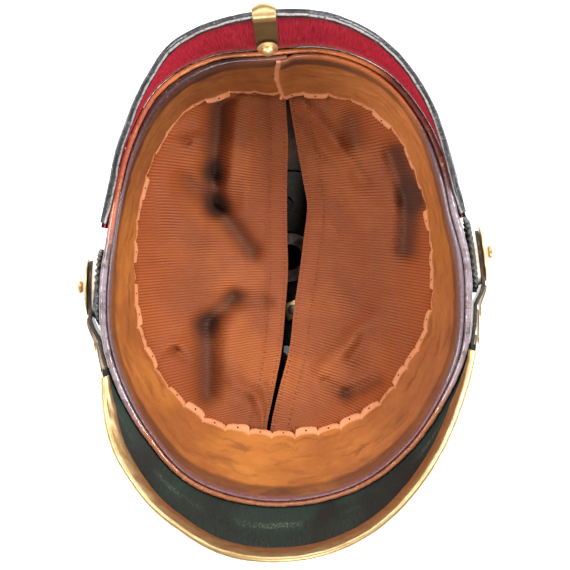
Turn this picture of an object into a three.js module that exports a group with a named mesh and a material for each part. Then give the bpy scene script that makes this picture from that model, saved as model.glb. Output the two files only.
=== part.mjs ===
// A spiked leather parade helmet, turned over: it stands crown down on the flat end of its
// vent neck, with its hollow open at the top. Millimetres, +Z up.
// The origin is the centre of the neck's flat end. The front peak points to -Y, the neck
// guard to +Y, and the wearer's right side is +X. Bearings run from +X towards +Y.

import * as THREE from 'three';

// Driving sizes of the whole
const CROWN_HEIGHT = 22;
const DOME_HEIGHT = 125;
const RIM_HEIGHT = CROWN_HEIGHT + DOME_HEIGHT;
const GAP = 0.4;
const HALVINGS = 40;

// Leather skull
const SKULL_WALL = 2.5;
const SKULL_EDGE_DROP = 1.6;
const SKULL_BULGE = 2.2;
const BULGE_DEPTH = 75;
const DOME_FULLNESS = 0.87;
const CROWN_RADIUS = 101;
const VENT_RADIUS = 7;
const AROUND = 40;

// Each row is a section through the axis. Rim is the radius of the skull's edge, roll the
// width of the rolled edges on it, and hem the radius that the sweatband's free edge has.
const SECTIONS = [
  { bearing: 0, rim: 89.5, roll: 7.5, hem: 72 },
  { bearing: 15, rim: 88.3, roll: 6.5, hem: 74 },
  { bearing: 30, rim: 93.8, roll: 6.5, hem: 78 },
  { bearing: 45, rim: 101.5, roll: 5.5, hem: 85 },
  { bearing: 60, rim: 108.5, roll: 5.5, hem: 88 },
  { bearing: 75, rim: 110, roll: 5.5, hem: 86 },
  { bearing: 90, rim: 107.5, roll: 5.5, hem: 85.5 },
  { bearing: 105, rim: 110.5, roll: 6.5, hem: 91 },
  { bearing: 120, rim: 109, roll: 7.5, hem: 92 },
  { bearing: 135, rim: 100.3, roll: 6, hem: 86 },
  { bearing: 150, rim: 92.6, roll: 4.8, hem: 80.5 },
  { bearing: 165, rim: 89.4, roll: 4.8, hem: 77 },
  { bearing: 180, rim: 91.5, roll: 6, hem: 76 },
  { bearing: 195, rim: 96, roll: 5.5, hem: 79 },
  { bearing: 210, rim: 101, roll: 5.5, hem: 82 },
  { bearing: 225, rim: 107, roll: 5, hem: 85 },
  { bearing: 240, rim: 114.5, roll: 5, hem: 86 },
  { bearing: 255, rim: 116, roll: 5, hem: 83.5 },
  { bearing: 270, rim: 115, roll: 4.8, hem: 83 },
  { bearing: 285, rim: 112.5, roll: 4.8, hem: 83 },
  { bearing: 300, rim: 107, roll: 5, hem: 81 },
  { bearing: 315, rim: 101, roll: 5.5, hem: 77 },
  { bearing: 330, rim: 97, roll: 6.5, hem: 75.5 },
  { bearing: 345, rim: 92, roll: 7, hem: 73 },
];

// Outer edges of the peak and of the neck guard: how far each reaches out past the rim and
// how far it falls below it as worn, which is up here.
const PEAK_EDGE = [
  { bearing: 204, reach: 3.6, drop: 2 },
  { bearing: 212, reach: 10, drop: 8 },
  { bearing: 222, reach: 16, drop: 15.5 },
  { bearing: 232, reach: 18, drop: 21.5 },
  { bearing: 242, reach: 19, drop: 26.5 },
  { bearing: 252, reach: 22.4, drop: 30.5 },
  { bearing: 262, reach: 23, drop: 31.5 },
  { bearing: 272, reach: 22.2, drop: 31 },
  { bearing: 282, reach: 19.6, drop: 29 },
  { bearing: 292, reach: 16, drop: 25.5 },
  { bearing: 302, reach: 12.4, drop: 20.5 },
  { bearing: 312, reach: 9.5, drop: 14.5 },
  { bearing: 322, reach: 6.5, drop: 8.5 },
  { bearing: 334, reach: 3.6, drop: 2 },
];
const GUARD_EDGE = [
  { bearing: 12.5, reach: 3.5, drop: 1.2 },
  { bearing: 18, reach: 3.5, drop: 2.2 },
  { bearing: 26, reach: 3.4, drop: 7 },
  { bearing: 36, reach: 4.4, drop: 17 },
  { bearing: 46, reach: 7, drop: 26.5 },
  { bearing: 56, reach: 9.7, drop: 37 },
  { bearing: 66, reach: 13.2, drop: 45.5 },
  { bearing: 78, reach: 16.6, drop: 52 },
  { bearing: 90, reach: 18.3, drop: 54.5 },
  { bearing: 102, reach: 15, drop: 52.5 },
  { bearing: 112, reach: 12, drop: 48 },
  { bearing: 120, reach: 6.5, drop: 40.5 },
  { bearing: 130, reach: 3.8, drop: 29 },
  { bearing: 140, reach: 3.6, drop: 17 },
  { bearing: 148, reach: 3.4, drop: 8.5 },
  { bearing: 156, reach: 3.4, drop: 2.4 },
  { bearing: 162, reach: 3.5, drop: 1.2 },
];
const PEAK_WALL = 1.8;
const PEAK_FLANGE = 8;
const FLANGE_TAPER = 16;
const FLANGE_LEAST = 0.3;
const PEAK_STANDOFF = { middle: 0.5, end: 1.6 };
const FLANGE_GAP = 0.5;
const LEAST_FLARE = { share: 0.35, reach: 0.1 };
const FLARE_END = 1.5;
const PEAK_COLUMNS = 22;
const PEAK_STEPS = [0.14, 0.34, 0.62, 1];

// Edge covers: a brass channel on the peak and a leather binding on the neck guard
const COVER_GAP = 0.4;
const LEG_SHARE = 0.5;
const TRIM = { leg: 6, wall: 0.8 };
const BINDING = { leg: 2.6, wall: 0.8 };

// Sweatband and the welt on the skull's edge
const BAND_WALL = 1.5;
const BAND_DEPTH = 45;
const BAND_SEAM = 88;
const ROLL_HEIGHT = 2.2;
const ROLL_CREST = 0.35;
const ROLL_FOOT = { inner: -1.5, outer: -4, edge: 0.6 };
const WELT_WIDTH = 2.6;
const WELT_HEIGHT = 3.4;
const WELT_LEVEL = 0.6;
const WELT_OVERHANG = 0.1;
const ROLL_CLEARANCE = 0.9;
const SCALLOP_COUNT = 46;
const SCALLOP_DEPTH = 3.4;
const SCALLOP_SHAPE = [0, 0.86, 0.86];

// Lining: two halves that hang from behind the sweatband and meet in a slit. Each row of the
// slit gives the edges of the left and right halves at one place from back to front.
const LINING_WALL = 1;
const LINING_TUCK = 7;
const LINING_DIP = 5;
const LINING_LIP = { place: 0.88, out: 0.5 };
const TUCK_CLEARANCE = 2.8;
const LINING_COLUMNS = 19;
const LINING_ROWS = 10;
const LINING_FULLNESS = 2.3;
const SLIT = [
  { y: 88.5, left: 6, right: 7.2, depth: 50 },
  { y: 80, left: 5.6, right: 7.7, depth: 53 },
  { y: 62, left: 5, right: 9.2, depth: 66 },
  { y: 42, left: 2.8, right: 11, depth: 76 },
  { y: 28, left: 1.6, right: 12.1, depth: 80 },
  { y: 13, left: 0.5, right: 9.3, depth: 82 },
  { y: -5, left: -0.6, right: 5.6, depth: 82 },
  { y: -25, left: -3.6, right: 1, depth: 79 },
  { y: -45, left: -7, right: -3, depth: 73 },
  { y: -63, left: -11.9, right: -9.3, depth: 65 },
  { y: -78, left: -16.3, right: -14.2, depth: 54 },
  { y: -86, left: -18, right: -16, depth: 50 },
];
// Each row is a fold: where its line starts and ends, its height above the sheet, and its
// half width. A valley has a negative height.
const FOLDS = [
  { x0: -27.2, y0: 86, x1: -34.3, y1: 49.5, height: -9, width: 8 },
  { x0: -34.3, y0: 49.5, x1: -34.7, y1: 32, height: -6, width: 7 },
  { x0: -49, y0: 46.5, x1: -35.7, y1: 32, height: -5, width: 6 },
  { x0: -34.7, y0: 32, x1: -19.2, y1: 6.9, height: -7, width: 7 },
  { x0: -46.7, y0: -63.7, x1: -44.9, y1: -29, height: -8, width: 8 },
  { x0: -44.9, y0: -29, x1: -30.4, y1: -16.6, height: -6, width: 7 },
  { x0: -30.4, y0: -16.6, x1: -12, y1: -20.1, height: -4, width: 5.5 },
  { x0: 59.9, y0: 52.3, x1: 65.9, y1: 29.6, height: -10, width: 8 },
  { x0: 65.9, y0: 29.6, x1: 61.2, y1: 2.6, height: -9, width: 8 },
  { x0: 38.7, y0: 71.5, x1: 40.3, y1: 59, height: -5, width: 7 },
  { x0: 24.5, y0: -69.4, x1: 41.6, y1: -63.4, height: -5, width: 4.5 },
];

// Crown fittings seen in the hollow
const DISC_RADIUS = 46;
const DISC_WALL = 0.8;
const VENT_RING_RADIUS = 13;
const VENT_RING_WALL = 1.2;
const WASHER_RADIUS = 4.6;
const FITTING_RADIUS = 28;
const FITTING_HALF = 6;
const FITTING_LIFT = 0.4;
const NUT_SIDE = 10;
const NUT_HEIGHT = 3;
const NUT_TURN = 17;

// Brass base and neck on the crown
const BASE_RADIUS = 44;
const BASE_WALL = 1;
const NECK_RADIUS = 16.5;
const NECK_WALL = 1.2;
const NECK_FILLET = 1.5;
const FOOT_RADIUS = 21;
const FOOT_LIP = 2.4;
const FOOT_BEVEL = 0.6;
const FOOT_WALL = 2;

// Brass strip down the back, hooked over the guard's edge
const SPINE_WIDTH = 11;
const SPINE_WALL = 0.8;
const SPINE_CROWN = 3.4;
const SPINE_END_DROP = 10;
const SPINE_STUD_DROP = 24;
const STUD_LIFT = 3.6;
const STUD_FACING = 145;

// Side fittings and chin strap
const SIDE_DEPTH = 19;
const COCKADE_RADIUS = 19;
const COCKADE_WALL = 1.6;
const COCKADE_FLUTES = 16;
const COCKADE_DISH = 2.4;
const STRAP_HALF = { side: 8.5, front: 6.5 };
const SCALE_HALF = { side: 9.6, front: 7.2 };
const SCALE_WALL = 0.7;
const SCALE_RISE = 1.1;
const STRAP_WALL = 1.8;
const STRAP_STANDOFF = 1.6;
const STRAP_END = 12;
const STRAP_TURN = { right: 7.6, left: 8.6, over: 8 };
const STRAP_COLUMNS = 40;
const ROSETTE_RADIUS = 14;
const ROSETTE_WALL = 0.6;
const ROSETTE_RISE = 2.6;
const KNOB_RADIUS = 3.4;
const KNOB_HEIGHT = 2.6;
const SIDE_STANDOFF = { right: 1.6, left: 1.2 };
const SIDE_FACING = { right: 3, left: 174.5 };
const SIDE_PLACE = { right: 0, left: -1.5 };
const SIDE_SPREAD = 13;
const SIDE_SAMPLES = 9;
const SCALES_A_SIDE = 11;
const SCALE_WAIST = 0.88;
const STRAP_END_SHARE = 0.12;

const radians = (angle) => angle * Math.PI / 180;
const degrees = (angle) => angle * 180 / Math.PI;
const mix = (a, b, t) => a + (b - a) * t;
const clamp = (value, low, high) => Math.min(Math.max(value, low), high);
const ease = (t) => t * t * (3 - 2 * t);

// A smooth curve through one column of a table, closed on itself or with free ends.
function columnCurve(rows, key, name, closed) {
  const count = rows.length;
  const turn = closed ? 360 : 0;
  const at = (i) => {
    const wrapped = closed ? (i + count) % count : clamp(i, 0, count - 1);
    const laps = closed ? Math.floor(i / count) : 0;
    return { key: rows[wrapped][key] + turn * laps, value: rows[wrapped][name] };
  };
  const slope = (i) => {
    const before = at(i - 1);
    const after = at(i + 1);
    return (after.value - before.value) / (after.key - before.key);
  };
  return (given) => {
    const place = closed ? ((given - rows[0][key]) % 360 + 360) % 360 + rows[0][key] : given;
    const rising = rows[count - 1][key] > rows[0][key];
    let i = 0;
    const last = closed ? count - 1 : count - 2;
    while (i < last && (rising ? at(i + 1).key <= place : at(i + 1).key >= place)) i += 1;
    const a = at(i);
    const b = at(i + 1);
    const span = b.key - a.key;
    const t = clamp((place - a.key) / span, 0, 1);
    const left = slope(i) * span;
    const right = slope(i + 1) * span;
    const t2 = t * t;
    const t3 = t2 * t;
    return (2 * t3 - 3 * t2 + 1) * a.value + (t3 - 2 * t2 + t) * left
      + (3 * t2 - 2 * t3) * b.value + (t3 - t2) * right;
  };
}

const rimAt = columnCurve(SECTIONS, 'bearing', 'rim', true);
const rollAt = columnCurve(SECTIONS, 'bearing', 'roll', true);
const hemAt = columnCurve(SECTIONS, 'bearing', 'hem', true);

// A point from a bearing, a radius and a height above the rim plane.
function polar(bearing, radius, height) {
  const angle = radians(bearing);
  return new THREE.Vector3(radius * Math.cos(angle), radius * Math.sin(angle), RIM_HEIGHT + height);
}

// A closed mesh from points and triangles: equal points are joined, triangles that this
// leaves without area are dropped, and the faces are turned outwards.
function closedMesh(points, triangles) {
  const seen = new Map();
  const kept = [];
  const indexOf = points.map((p) => {
    const name = [p.x, p.y, p.z].map((c) => Math.round(c * 1e4)).join(' ');
    if (!seen.has(name)) {
      seen.set(name, kept.length);
      kept.push(p);
    }
    return seen.get(name);
  });
  const faces = [];
  let volume = 0;
  for (const triangle of triangles) {
    const [a, b, c] = triangle.map((i) => indexOf[i]);
    if (a === b || b === c || a === c) continue;
    faces.push([a, b, c]);
    volume += kept[a].dot(new THREE.Vector3().crossVectors(kept[b], kept[c]));
  }
  const geometry = new THREE.BufferGeometry().setFromPoints(kept);
  geometry.setIndex(faces.flatMap(([a, b, c]) => (volume > 0 ? [a, b, c] : [a, c, b])));
  geometry.computeVertexNormals();
  return geometry;
}

// A skin through closed sections of equal count. An open run gets a cap at each end, which
// joins each point of the section to the one opposite.
function loft(sections, closed) {
  const size = sections[0].length;
  const points = sections.flat();
  const triangles = [];
  const quad = (a, b, c, d) => triangles.push([a, b, c], [a, c, d]);
  const runs = closed ? sections.length : sections.length - 1;
  for (let i = 0; i < runs; i += 1) {
    const here = i * size;
    const next = ((i + 1) % sections.length) * size;
    for (let j = 0; j < size; j += 1) {
      const k = (j + 1) % size;
      quad(here + j, here + k, next + k, next + j);
    }
  }
  if (!closed) {
    const end = (sections.length - 1) * size;
    for (let j = 0; j < size / 2 - 1; j += 1) {
      const far = size - 1 - j;
      quad(j, far, far - 1, j + 1);
      quad(end + j, end + j + 1, end + far - 1, end + far);
    }
  }
  return closedMesh(points, triangles);
}

const range = (count, from, to) => Array.from({ length: count },
  (unused, i) => mix(from, to, i / (count - 1)));
const bearingsAround = (count) => Array.from({ length: count }, (unused, i) => 360 * i / count);

// A turned solid from radii and heights along its axis, which is Y.
const lathe = (profile, sides) => new THREE.LatheGeometry(
  profile.map(([radius, height]) => new THREE.Vector2(radius, height)), sides);

// A path of radii and heights moved sideways by a distance, to its left along the path.
function beside(path, distance) {
  return path.map((point, i) => {
    const before = path[Math.max(i - 1, 0)];
    const after = path[Math.min(i + 1, path.length - 1)];
    const run = new THREE.Vector2(after.x - before.x, after.y - before.y).normalize();
    return new THREE.Vector2(point.x - run.y * distance, point.y + run.x * distance);
  });
}

const group = new THREE.Group();

function add(name, geometry, finish) {
  const mesh = new THREE.Mesh(geometry, new THREE.MeshStandardMaterial(finish));
  mesh.name = name;
  group.add(mesh);
  return mesh;
}

const FINISH = {
  skull: { color: 0x1b1512, roughness: 0.45, metalness: 0 },
  peak: { color: 0x1d221a, roughness: 0.6, metalness: 0 },
  guard: { color: 0x9c1230, roughness: 0.6, metalness: 0 },
  binding: { color: 0x26262a, roughness: 0.5, metalness: 0 },
  brass: { color: 0xb08a3e, roughness: 0.35, metalness: 1 },
  band: { color: 0x8f5a2c, roughness: 0.55, metalness: 0 },
  welt: { color: 0x40303a, roughness: 0.4, metalness: 0 },
  silk: { color: 0xa8571f, roughness: 0.65, metalness: 0 },
  blackened: { color: 0x16130f, roughness: 0.6, metalness: 0.4 },
  silver: { color: 0xb9b4a8, roughness: 0.35, metalness: 1 },
};

// Skull: a full dome whose plan turns from the rim's oval to a circle at the crown.
// Inset moves the surface inwards, and swing is 0 at the rim and 90 at the crown.
function domePoint(bearing, swing, inset) {
  const rise = Math.sin(radians(swing));
  const depth = (DOME_HEIGHT - inset) * rise ** DOME_FULLNESS;
  const base = mix(rimAt(bearing), CROWN_RADIUS, rise ** 4) - inset;
  const bulge = SKULL_BULGE * Math.sin(Math.PI * clamp(depth / BULGE_DEPTH, 0, 1));
  const radius = base * Math.cos(radians(swing)) ** DOME_FULLNESS + bulge;
  return new THREE.Vector2(radius, -depth);
}

// The swing at which the dome's surface has a given radius.
function swingAtRadius(bearing, radius, inset) {
  let low = 20;
  let high = 90;
  for (let i = 0; i < HALVINGS; i += 1) {
    const middle = (low + high) / 2;
    if (domePoint(bearing, middle, inset).x > radius) low = middle;
    else high = middle;
  }
  return (low + high) / 2;
}

// Around the crown the skull and the disc have points at the same radii.
const SKULL_SWINGS = [5, 12, 21, 31, 42, 53];
const CROWN_RADII = range(4, DISC_RADIUS, VENT_RADIUS);

function skullSection(bearing) {
  const side = (inset) => [
    new THREE.Vector2(rimAt(bearing) - inset, -SKULL_EDGE_DROP),
    ...SKULL_SWINGS.map((swing) => domePoint(bearing, swing, inset)),
    ...CROWN_RADII.map((radius) => domePoint(bearing, swingAtRadius(bearing, radius, inset), inset)),
  ];
  return [...side(0), ...side(SKULL_WALL).reverse()].map((p) => polar(bearing, p.x, p.y));
}

add('skull', loft(bearingsAround(AROUND).map(skullSection), true), FINISH.skull);

// Peak and neck guard: a flange outside the skull's edge, then a flare to the outer edge.
// The path runs along the face that looks into the hollow.
function flarePath(bearing, standoff, reach, drop, sag, flange) {
  const start = rimAt(bearing) + standoff;
  const rise = (flange / DOME_HEIGHT) ** (1 / DOME_FULLNESS);
  const foot = domePoint(bearing, degrees(Math.asin(rise)), 0).x + FLANGE_GAP;
  return [
    new THREE.Vector2(foot, -flange),
    new THREE.Vector2(start, 0),
    ...PEAK_STEPS.map((t) => new THREE.Vector2(start + reach * t ** sag, drop * t)),
  ];
}

function flareOf(edge, sag, wall) {
  const reachAt = columnCurve(edge, 'bearing', 'reach', false);
  const dropAt = columnCurve(edge, 'bearing', 'drop', false);
  const from = edge[0].bearing;
  const to = edge[edge.length - 1].bearing;
  return { reachAt, dropAt, from, to, sag, wall };
}

// Reach and drop in the tables are to the outside of the edge cover, on the outer face's side.
function flareSection(flare, bearing, cover) {
  const length = Math.hypot(flare.reachAt(bearing), flare.dropAt(bearing));
  const keep = Math.max((length - cover.wall - COVER_GAP) / length, LEAST_FLARE.share);
  const aside = (flare.wall + COVER_GAP + cover.wall) * flare.dropAt(bearing) / length;
  const fromEnd = Math.min(bearing - flare.from, flare.to - bearing) / FLANGE_TAPER;
  const inside = ease(clamp(fromEnd, 0, 1));
  const standoff = mix(PEAK_STANDOFF.end, PEAK_STANDOFF.middle, inside);
  const reach = flare.reachAt(bearing) * keep - standoff - aside;
  const flange = PEAK_FLANGE * mix(FLANGE_LEAST, 1, inside);
  const drop = flare.dropAt(bearing) * keep;
  return flarePath(bearing, standoff, Math.max(reach, LEAST_FLARE.reach), drop, flare.sag, flange);
}

const flareBearings = (flare) => [
  flare.from,
  ...range(PEAK_COLUMNS - 1, flare.from + FLARE_END, flare.to - FLARE_END),
  flare.to,
];

function flareSolid(flare, cover) {
  const sections = flareBearings(flare).map((bearing) => {
    const inner = flareSection(flare, bearing, cover);
    const outer = beside(inner, -flare.wall);
    return [...inner, ...outer.reverse()].map((p) => polar(bearing, p.x, p.y));
  });
  return loft(sections, false);
}

// A channel round the free edge of a flare.
function coverSolid(flare, cover) {
  const sections = flareBearings(flare).slice(1, -1).map((bearing) => {
    const inner = flareSection(flare, bearing, cover);
    const end = inner[inner.length - 1];
    const before = inner[inner.length - 2];
    const along = new THREE.Vector2().subVectors(end, before).normalize();
    const out = new THREE.Vector2(along.y, -along.x);
    const leg = Math.min(end.distanceTo(inner[1]) * LEG_SHARE, cover.leg);
    const at = (forward, sideways) => new THREE.Vector2(
      end.x + along.x * forward + out.x * sideways,
      end.y + along.y * forward + out.y * sideways,
    );
    const channel = (clear) => [
      at(-leg, -clear),
      at(-leg / 4, -clear),
      at(clear, -clear * 0.5),
      at(clear, flare.wall + clear * 0.5),
      at(-leg / 4, flare.wall + clear),
      at(-leg, flare.wall + clear),
    ];
    const outside = channel(COVER_GAP + cover.wall);
    const inside = channel(COVER_GAP);
    return [...outside, ...inside.reverse()].map((p) => polar(bearing, p.x, p.y));
  });
  return loft(sections, false);
}

const peak = flareOf(PEAK_EDGE, 1.05, PEAK_WALL);
const guard = flareOf(GUARD_EDGE, 1.35, PEAK_WALL);
add('front_peak', flareSolid(peak, TRIM), FINISH.peak);
add('peak_trim', coverSolid(peak, TRIM), FINISH.brass);
add('neck_guard', flareSolid(guard, BINDING), FINISH.guard);
add('guard_binding', coverSolid(guard, BINDING), FINISH.binding);

// Welt: a stuffed leather roll that caps the skull's edge.
function weltSection(bearing) {
  const middle = rimAt(bearing) - WELT_WIDTH / 2 + WELT_OVERHANG;
  return bearingsAround(6).map((turn) => polar(
    bearing,
    middle + WELT_WIDTH / 2 * Math.cos(radians(turn)),
    WELT_LEVEL + WELT_HEIGHT / 2 * Math.sin(radians(turn)),
  ));
}
add('rim_welt', loft(bearingsAround(AROUND).map(weltSection), true), FINISH.welt);

// Sweatband: a strip that is rolled over at the rim and leans in to a scalloped hem. Its
// ends meet at the back.
const grooveAt = (bearing) => rimAt(bearing) - rollAt(bearing);

function bandRadius(bearing, depth) {
  return mix(grooveAt(bearing), hemAt(bearing), clamp(depth / BAND_DEPTH, 0, 1));
}

function bandSection(bearing, tooth) {
  const hem = BAND_DEPTH - SCALLOP_DEPTH * (1 - tooth);
  const groove = grooveAt(bearing);
  const rollEdge = rimAt(bearing) - WELT_WIDTH - ROLL_CLEARANCE;
  const inner = [
    new THREE.Vector2(bandRadius(bearing, hem), -hem),
    new THREE.Vector2(groove, ROLL_FOOT.inner),
    new THREE.Vector2(mix(groove, rollEdge, ROLL_CREST), ROLL_HEIGHT),
  ];
  const outer = [
    new THREE.Vector2(bandRadius(bearing, hem) + BAND_WALL, -hem),
    new THREE.Vector2(Math.min(groove + BAND_WALL, rollEdge - 0.2), ROLL_FOOT.outer),
    new THREE.Vector2(rollEdge, ROLL_FOOT.edge),
  ];
  return [...inner, ...outer.reverse()].map((p) => polar(bearing, p.x, p.y));
}

const bandSteps = SCALLOP_COUNT * SCALLOP_SHAPE.length;
const bandSections = Array.from({ length: bandSteps + 1 }, (unused, i) => bandSection(
  BAND_SEAM + 0.2 + 359.6 * i / bandSteps,
  SCALLOP_SHAPE[i % SCALLOP_SHAPE.length],
));
add('sweatband', loft(bandSections, false), FINISH.band);

// Lining halves. Across runs from the slit at 0 to the tucked edge at 1, and along runs from
// the back at 0 to the front at 1.
const slitDepth = columnCurve(SLIT, 'y', 'depth', false);
const slitEdge = {
  left: columnCurve(SLIT, 'y', 'left', false),
  right: columnCurve(SLIT, 'y', 'right', false),
};
const LINING_BEARINGS = { left: [97, 252], right: [79, -94] };

function foldHeight(x, y) {
  return FOLDS.reduce((sum, fold) => {
    const dx = fold.x1 - fold.x0;
    const dy = fold.y1 - fold.y0;
    const t = clamp(((x - fold.x0) * dx + (y - fold.y0) * dy) / (dx * dx + dy * dy), 0, 1);
    const away = Math.hypot(x - fold.x0 - dx * t, y - fold.y0 - dy * t) / fold.width;
    return sum + fold.height * Math.exp(-away * away * 1.6);
  }, 0);
}

function liningPoint(side, along, across) {
  const y = mix(SLIT[0].y, SLIT[SLIT.length - 1].y, along);
  const [from, to] = LINING_BEARINGS[side];
  const bearing = mix(from, to, along);
  const angle = radians(bearing);
  const tuckRadius = bandRadius(bearing, BAND_DEPTH - LINING_TUCK) + BAND_WALL + TUCK_CLEARANCE;
  const lipRadius = hemAt(bearing) + LINING_LIP.out;
  const slit = new THREE.Vector3(slitEdge[side](y), y, -slitDepth(y));
  if (across > LINING_LIP.place) {
    const t = (across - LINING_LIP.place) / (1 - LINING_LIP.place);
    const radius = mix(lipRadius, tuckRadius, t);
    const height = mix(-BAND_DEPTH - LINING_DIP, -BAND_DEPTH + LINING_TUCK, t);
    return new THREE.Vector3(radius * Math.cos(angle), radius * Math.sin(angle), height);
  }
  const t = across / LINING_LIP.place;
  const x = mix(slit.x, lipRadius * Math.cos(angle), t);
  const yy = mix(slit.y, lipRadius * Math.sin(angle), t);
  const bowl = mix(slit.z, -BAND_DEPTH - LINING_DIP, t ** LINING_FULLNESS);
  const calm = ease(clamp(t * 6, 0, 1)) * ease(clamp((1 - t) * 5, 0, 1));
  return new THREE.Vector3(x, yy, bowl + foldHeight(x, yy) * calm);
}

function liningSolid(side) {
  const alongs = range(LINING_COLUMNS + 1, 0, 1);
  const acrosses = [...range(LINING_ROWS, 0, LINING_LIP.place), 1];
  const nudge = 0.002;
  const normalAt = (along, across) => {
    const a = clamp(along, nudge, 1 - nudge);
    const b = clamp(across, nudge, 1 - nudge);
    const du = liningPoint(side, a + nudge, b).sub(liningPoint(side, a - nudge, b));
    const dv = liningPoint(side, a, b + nudge).sub(liningPoint(side, a, b - nudge));
    const normal = du.cross(dv).normalize();
    return normal.z > 0 ? normal : normal.negate();
  };
  const sections = alongs.map((along) => {
    const top = acrosses.map((across) => liningPoint(side, along, across));
    const under = acrosses.map((across, i) => top[i].clone()
      .addScaledVector(normalAt(along, across), -LINING_WALL));
    return [...top, ...under.reverse()].map((p) => p.setZ(p.z + RIM_HEIGHT));
  });
  return loft(sections, false);
}
add('lining_left', liningSolid('left'), FINISH.silk);
add('lining_right', liningSolid('right'), FINISH.silk);

// Crown disc: a thin disc inside the crown, round the vent.
function crownRing(from, to, steps, inset, wall) {
  const sections = bearingsAround(24).map((bearing) => {
    const at = (radius, depth) => {
      const swing = swingAtRadius(bearing, radius, depth);
      return polar(bearing, radius, domePoint(bearing, swing, depth).y);
    };
    const radii = range(steps, from, to);
    const under = radii.map((radius) => at(radius, inset));
    const over = radii.map((radius) => at(radius, inset + wall)).reverse();
    return [...under, ...over];
  });
  return loft(sections, true);
}
const discInset = SKULL_WALL + GAP;
const ringInset = discInset + DISC_WALL + GAP;
add('crown_disc', crownRing(VENT_RADIUS, DISC_RADIUS, 4, discInset, DISC_WALL), FINISH.blackened);
add('vent_ring', crownRing(VENT_RADIUS, VENT_RING_RADIUS, 3, ringInset, VENT_RING_WALL), FINISH.silver);

// Fittings that lie on the disc, along the crown's slope: a square nut at the front and a
// round washer at the back.
function crownFitting(name, geometry, finish, bearing, lift) {
  const level = (radius) => domePoint(bearing, swingAtRadius(bearing, radius, ringInset), ringInset).y;
  const rise = level(FITTING_RADIUS + FITTING_HALF) - level(FITTING_RADIUS - FITTING_HALF);
  const slope = rise / (FITTING_HALF * 2);
  const holder = new THREE.Group();
  holder.rotation.z = radians(bearing);
  group.add(holder);
  const seat = new THREE.Group();
  seat.position.set(FITTING_RADIUS, 0, RIM_HEIGHT + level(FITTING_RADIUS) + lift);
  seat.rotation.y = -Math.atan(slope);
  holder.add(seat);
  const mesh = add(name, geometry, finish);
  seat.add(mesh);
  return mesh;
}
const nut = crownFitting('front_nut', new THREE.BoxGeometry(NUT_SIDE, NUT_SIDE, NUT_HEIGHT),
  FINISH.brass, 270, FITTING_LIFT + NUT_HEIGHT / 2);
nut.rotation.z = radians(NUT_TURN);
const washer = crownFitting('rear_washer', lathe([
  [0, 0], [WASHER_RADIUS, 0], [WASHER_RADIUS, 1], [WASHER_RADIUS - 1, 1.6], [WASHER_RADIUS - 2, 1],
  [0, 1],
], 16), FINISH.blackened, 90, FITTING_LIFT);
washer.rotation.x = Math.PI / 2;

// Base and neck: one brass solid. The plate follows the crown, and the neck is a cup whose
// mouth is the vent and whose flat end is the foot.
const plateLevel = (bearing, radius, clear) => {
  const swing = swingAtRadius(bearing, radius, -clear);
  return domePoint(bearing, swing, -clear).y;
};
function baseSection(bearing) {
  const inner = NECK_RADIUS - NECK_WALL;
  const radii = range(3, NECK_RADIUS + NECK_FILLET, BASE_RADIUS);
  const under = radii.map((r) => new THREE.Vector2(r, plateLevel(bearing, r, GAP + BASE_WALL)));
  const over = radii.map((r) => new THREE.Vector2(r, plateLevel(bearing, r, GAP)));
  const foot = -RIM_HEIGHT;
  const outside = [
    new THREE.Vector2(0, foot),
    new THREE.Vector2(FOOT_RADIUS - FOOT_BEVEL, foot),
    new THREE.Vector2(FOOT_RADIUS, foot + FOOT_BEVEL),
    new THREE.Vector2(FOOT_RADIUS, foot + FOOT_LIP),
    new THREE.Vector2(NECK_RADIUS + 0.5, foot + FOOT_LIP + 3),
    new THREE.Vector2(NECK_RADIUS, -DOME_HEIGHT - 6),
    ...under,
  ];
  const inside = [
    new THREE.Vector2(0, foot + FOOT_WALL),
    new THREE.Vector2(inner - 1, foot + FOOT_WALL),
    new THREE.Vector2(inner, foot + FOOT_WALL + 1),
    new THREE.Vector2(inner, -DOME_HEIGHT - 3),
    new THREE.Vector2(inner, plateLevel(bearing, inner, GAP)),
    ...over,
  ];
  return [...outside, ...inside.reverse()].map((p) => polar(bearing, p.x, p.y));
}
add('base_and_neck', loft(bearingsAround(24).map(baseSection), true), FINISH.brass);

// Spine: a brass strip down the outside of the back, over the guard and round its binding.
function spinePath() {
  const clear = GAP + SPINE_WALL / 2 + 0.2;
  const start = swingAtRadius(90, BASE_RADIUS + 1, 0);
  const overSkull = range(8, start, 9).map((swing) => domePoint(90, swing, -clear));
  const guardInner = flareSection(guard, 90, BINDING);
  const guardOuter = beside(guardInner, -PEAK_WALL - clear - 0.1);
  const cover = BINDING.wall + COVER_GAP + clear;
  const end = guardInner[guardInner.length - 1];
  const before = guardInner[guardInner.length - 2];
  const along = new THREE.Vector2().subVectors(end, before).normalize();
  const out = new THREE.Vector2(along.y, -along.x);
  const at = (forward, sideways) => new THREE.Vector2(
    end.x + along.x * forward + out.x * sideways,
    end.y + along.y * forward + out.y * sideways,
  );
  const thick = PEAK_WALL;
  const hook = [
    at(-BINDING.leg - 5, thick + clear),
    at(-BINDING.leg - 1, thick + cover),
    at(0, thick + cover),
    at(cover * 0.85, thick + cover * 0.5),
    at(cover * 1.05, thick / 2),
    at(cover * 0.85, -cover * 0.5),
    at(0, -cover),
    at(-BINDING.leg - 1, -cover),
    at(-BINDING.leg - 5, -clear),
  ];
  const innerRun = range(5, end.y - BINDING.leg - 14, SPINE_END_DROP).map((height) => {
    const t = height / end.y;
    const foot = guardInner[1];
    const radius = foot.x + (end.x - foot.x) * t ** guard.sag;
    return new THREE.Vector2(radius - clear, height);
  });
  return {
    outside: [...overSkull, ...guardOuter.slice(0, 4), ...hook.slice(0, 2)],
    inside: [...hook.slice(2), ...innerRun],
  };
}

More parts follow.
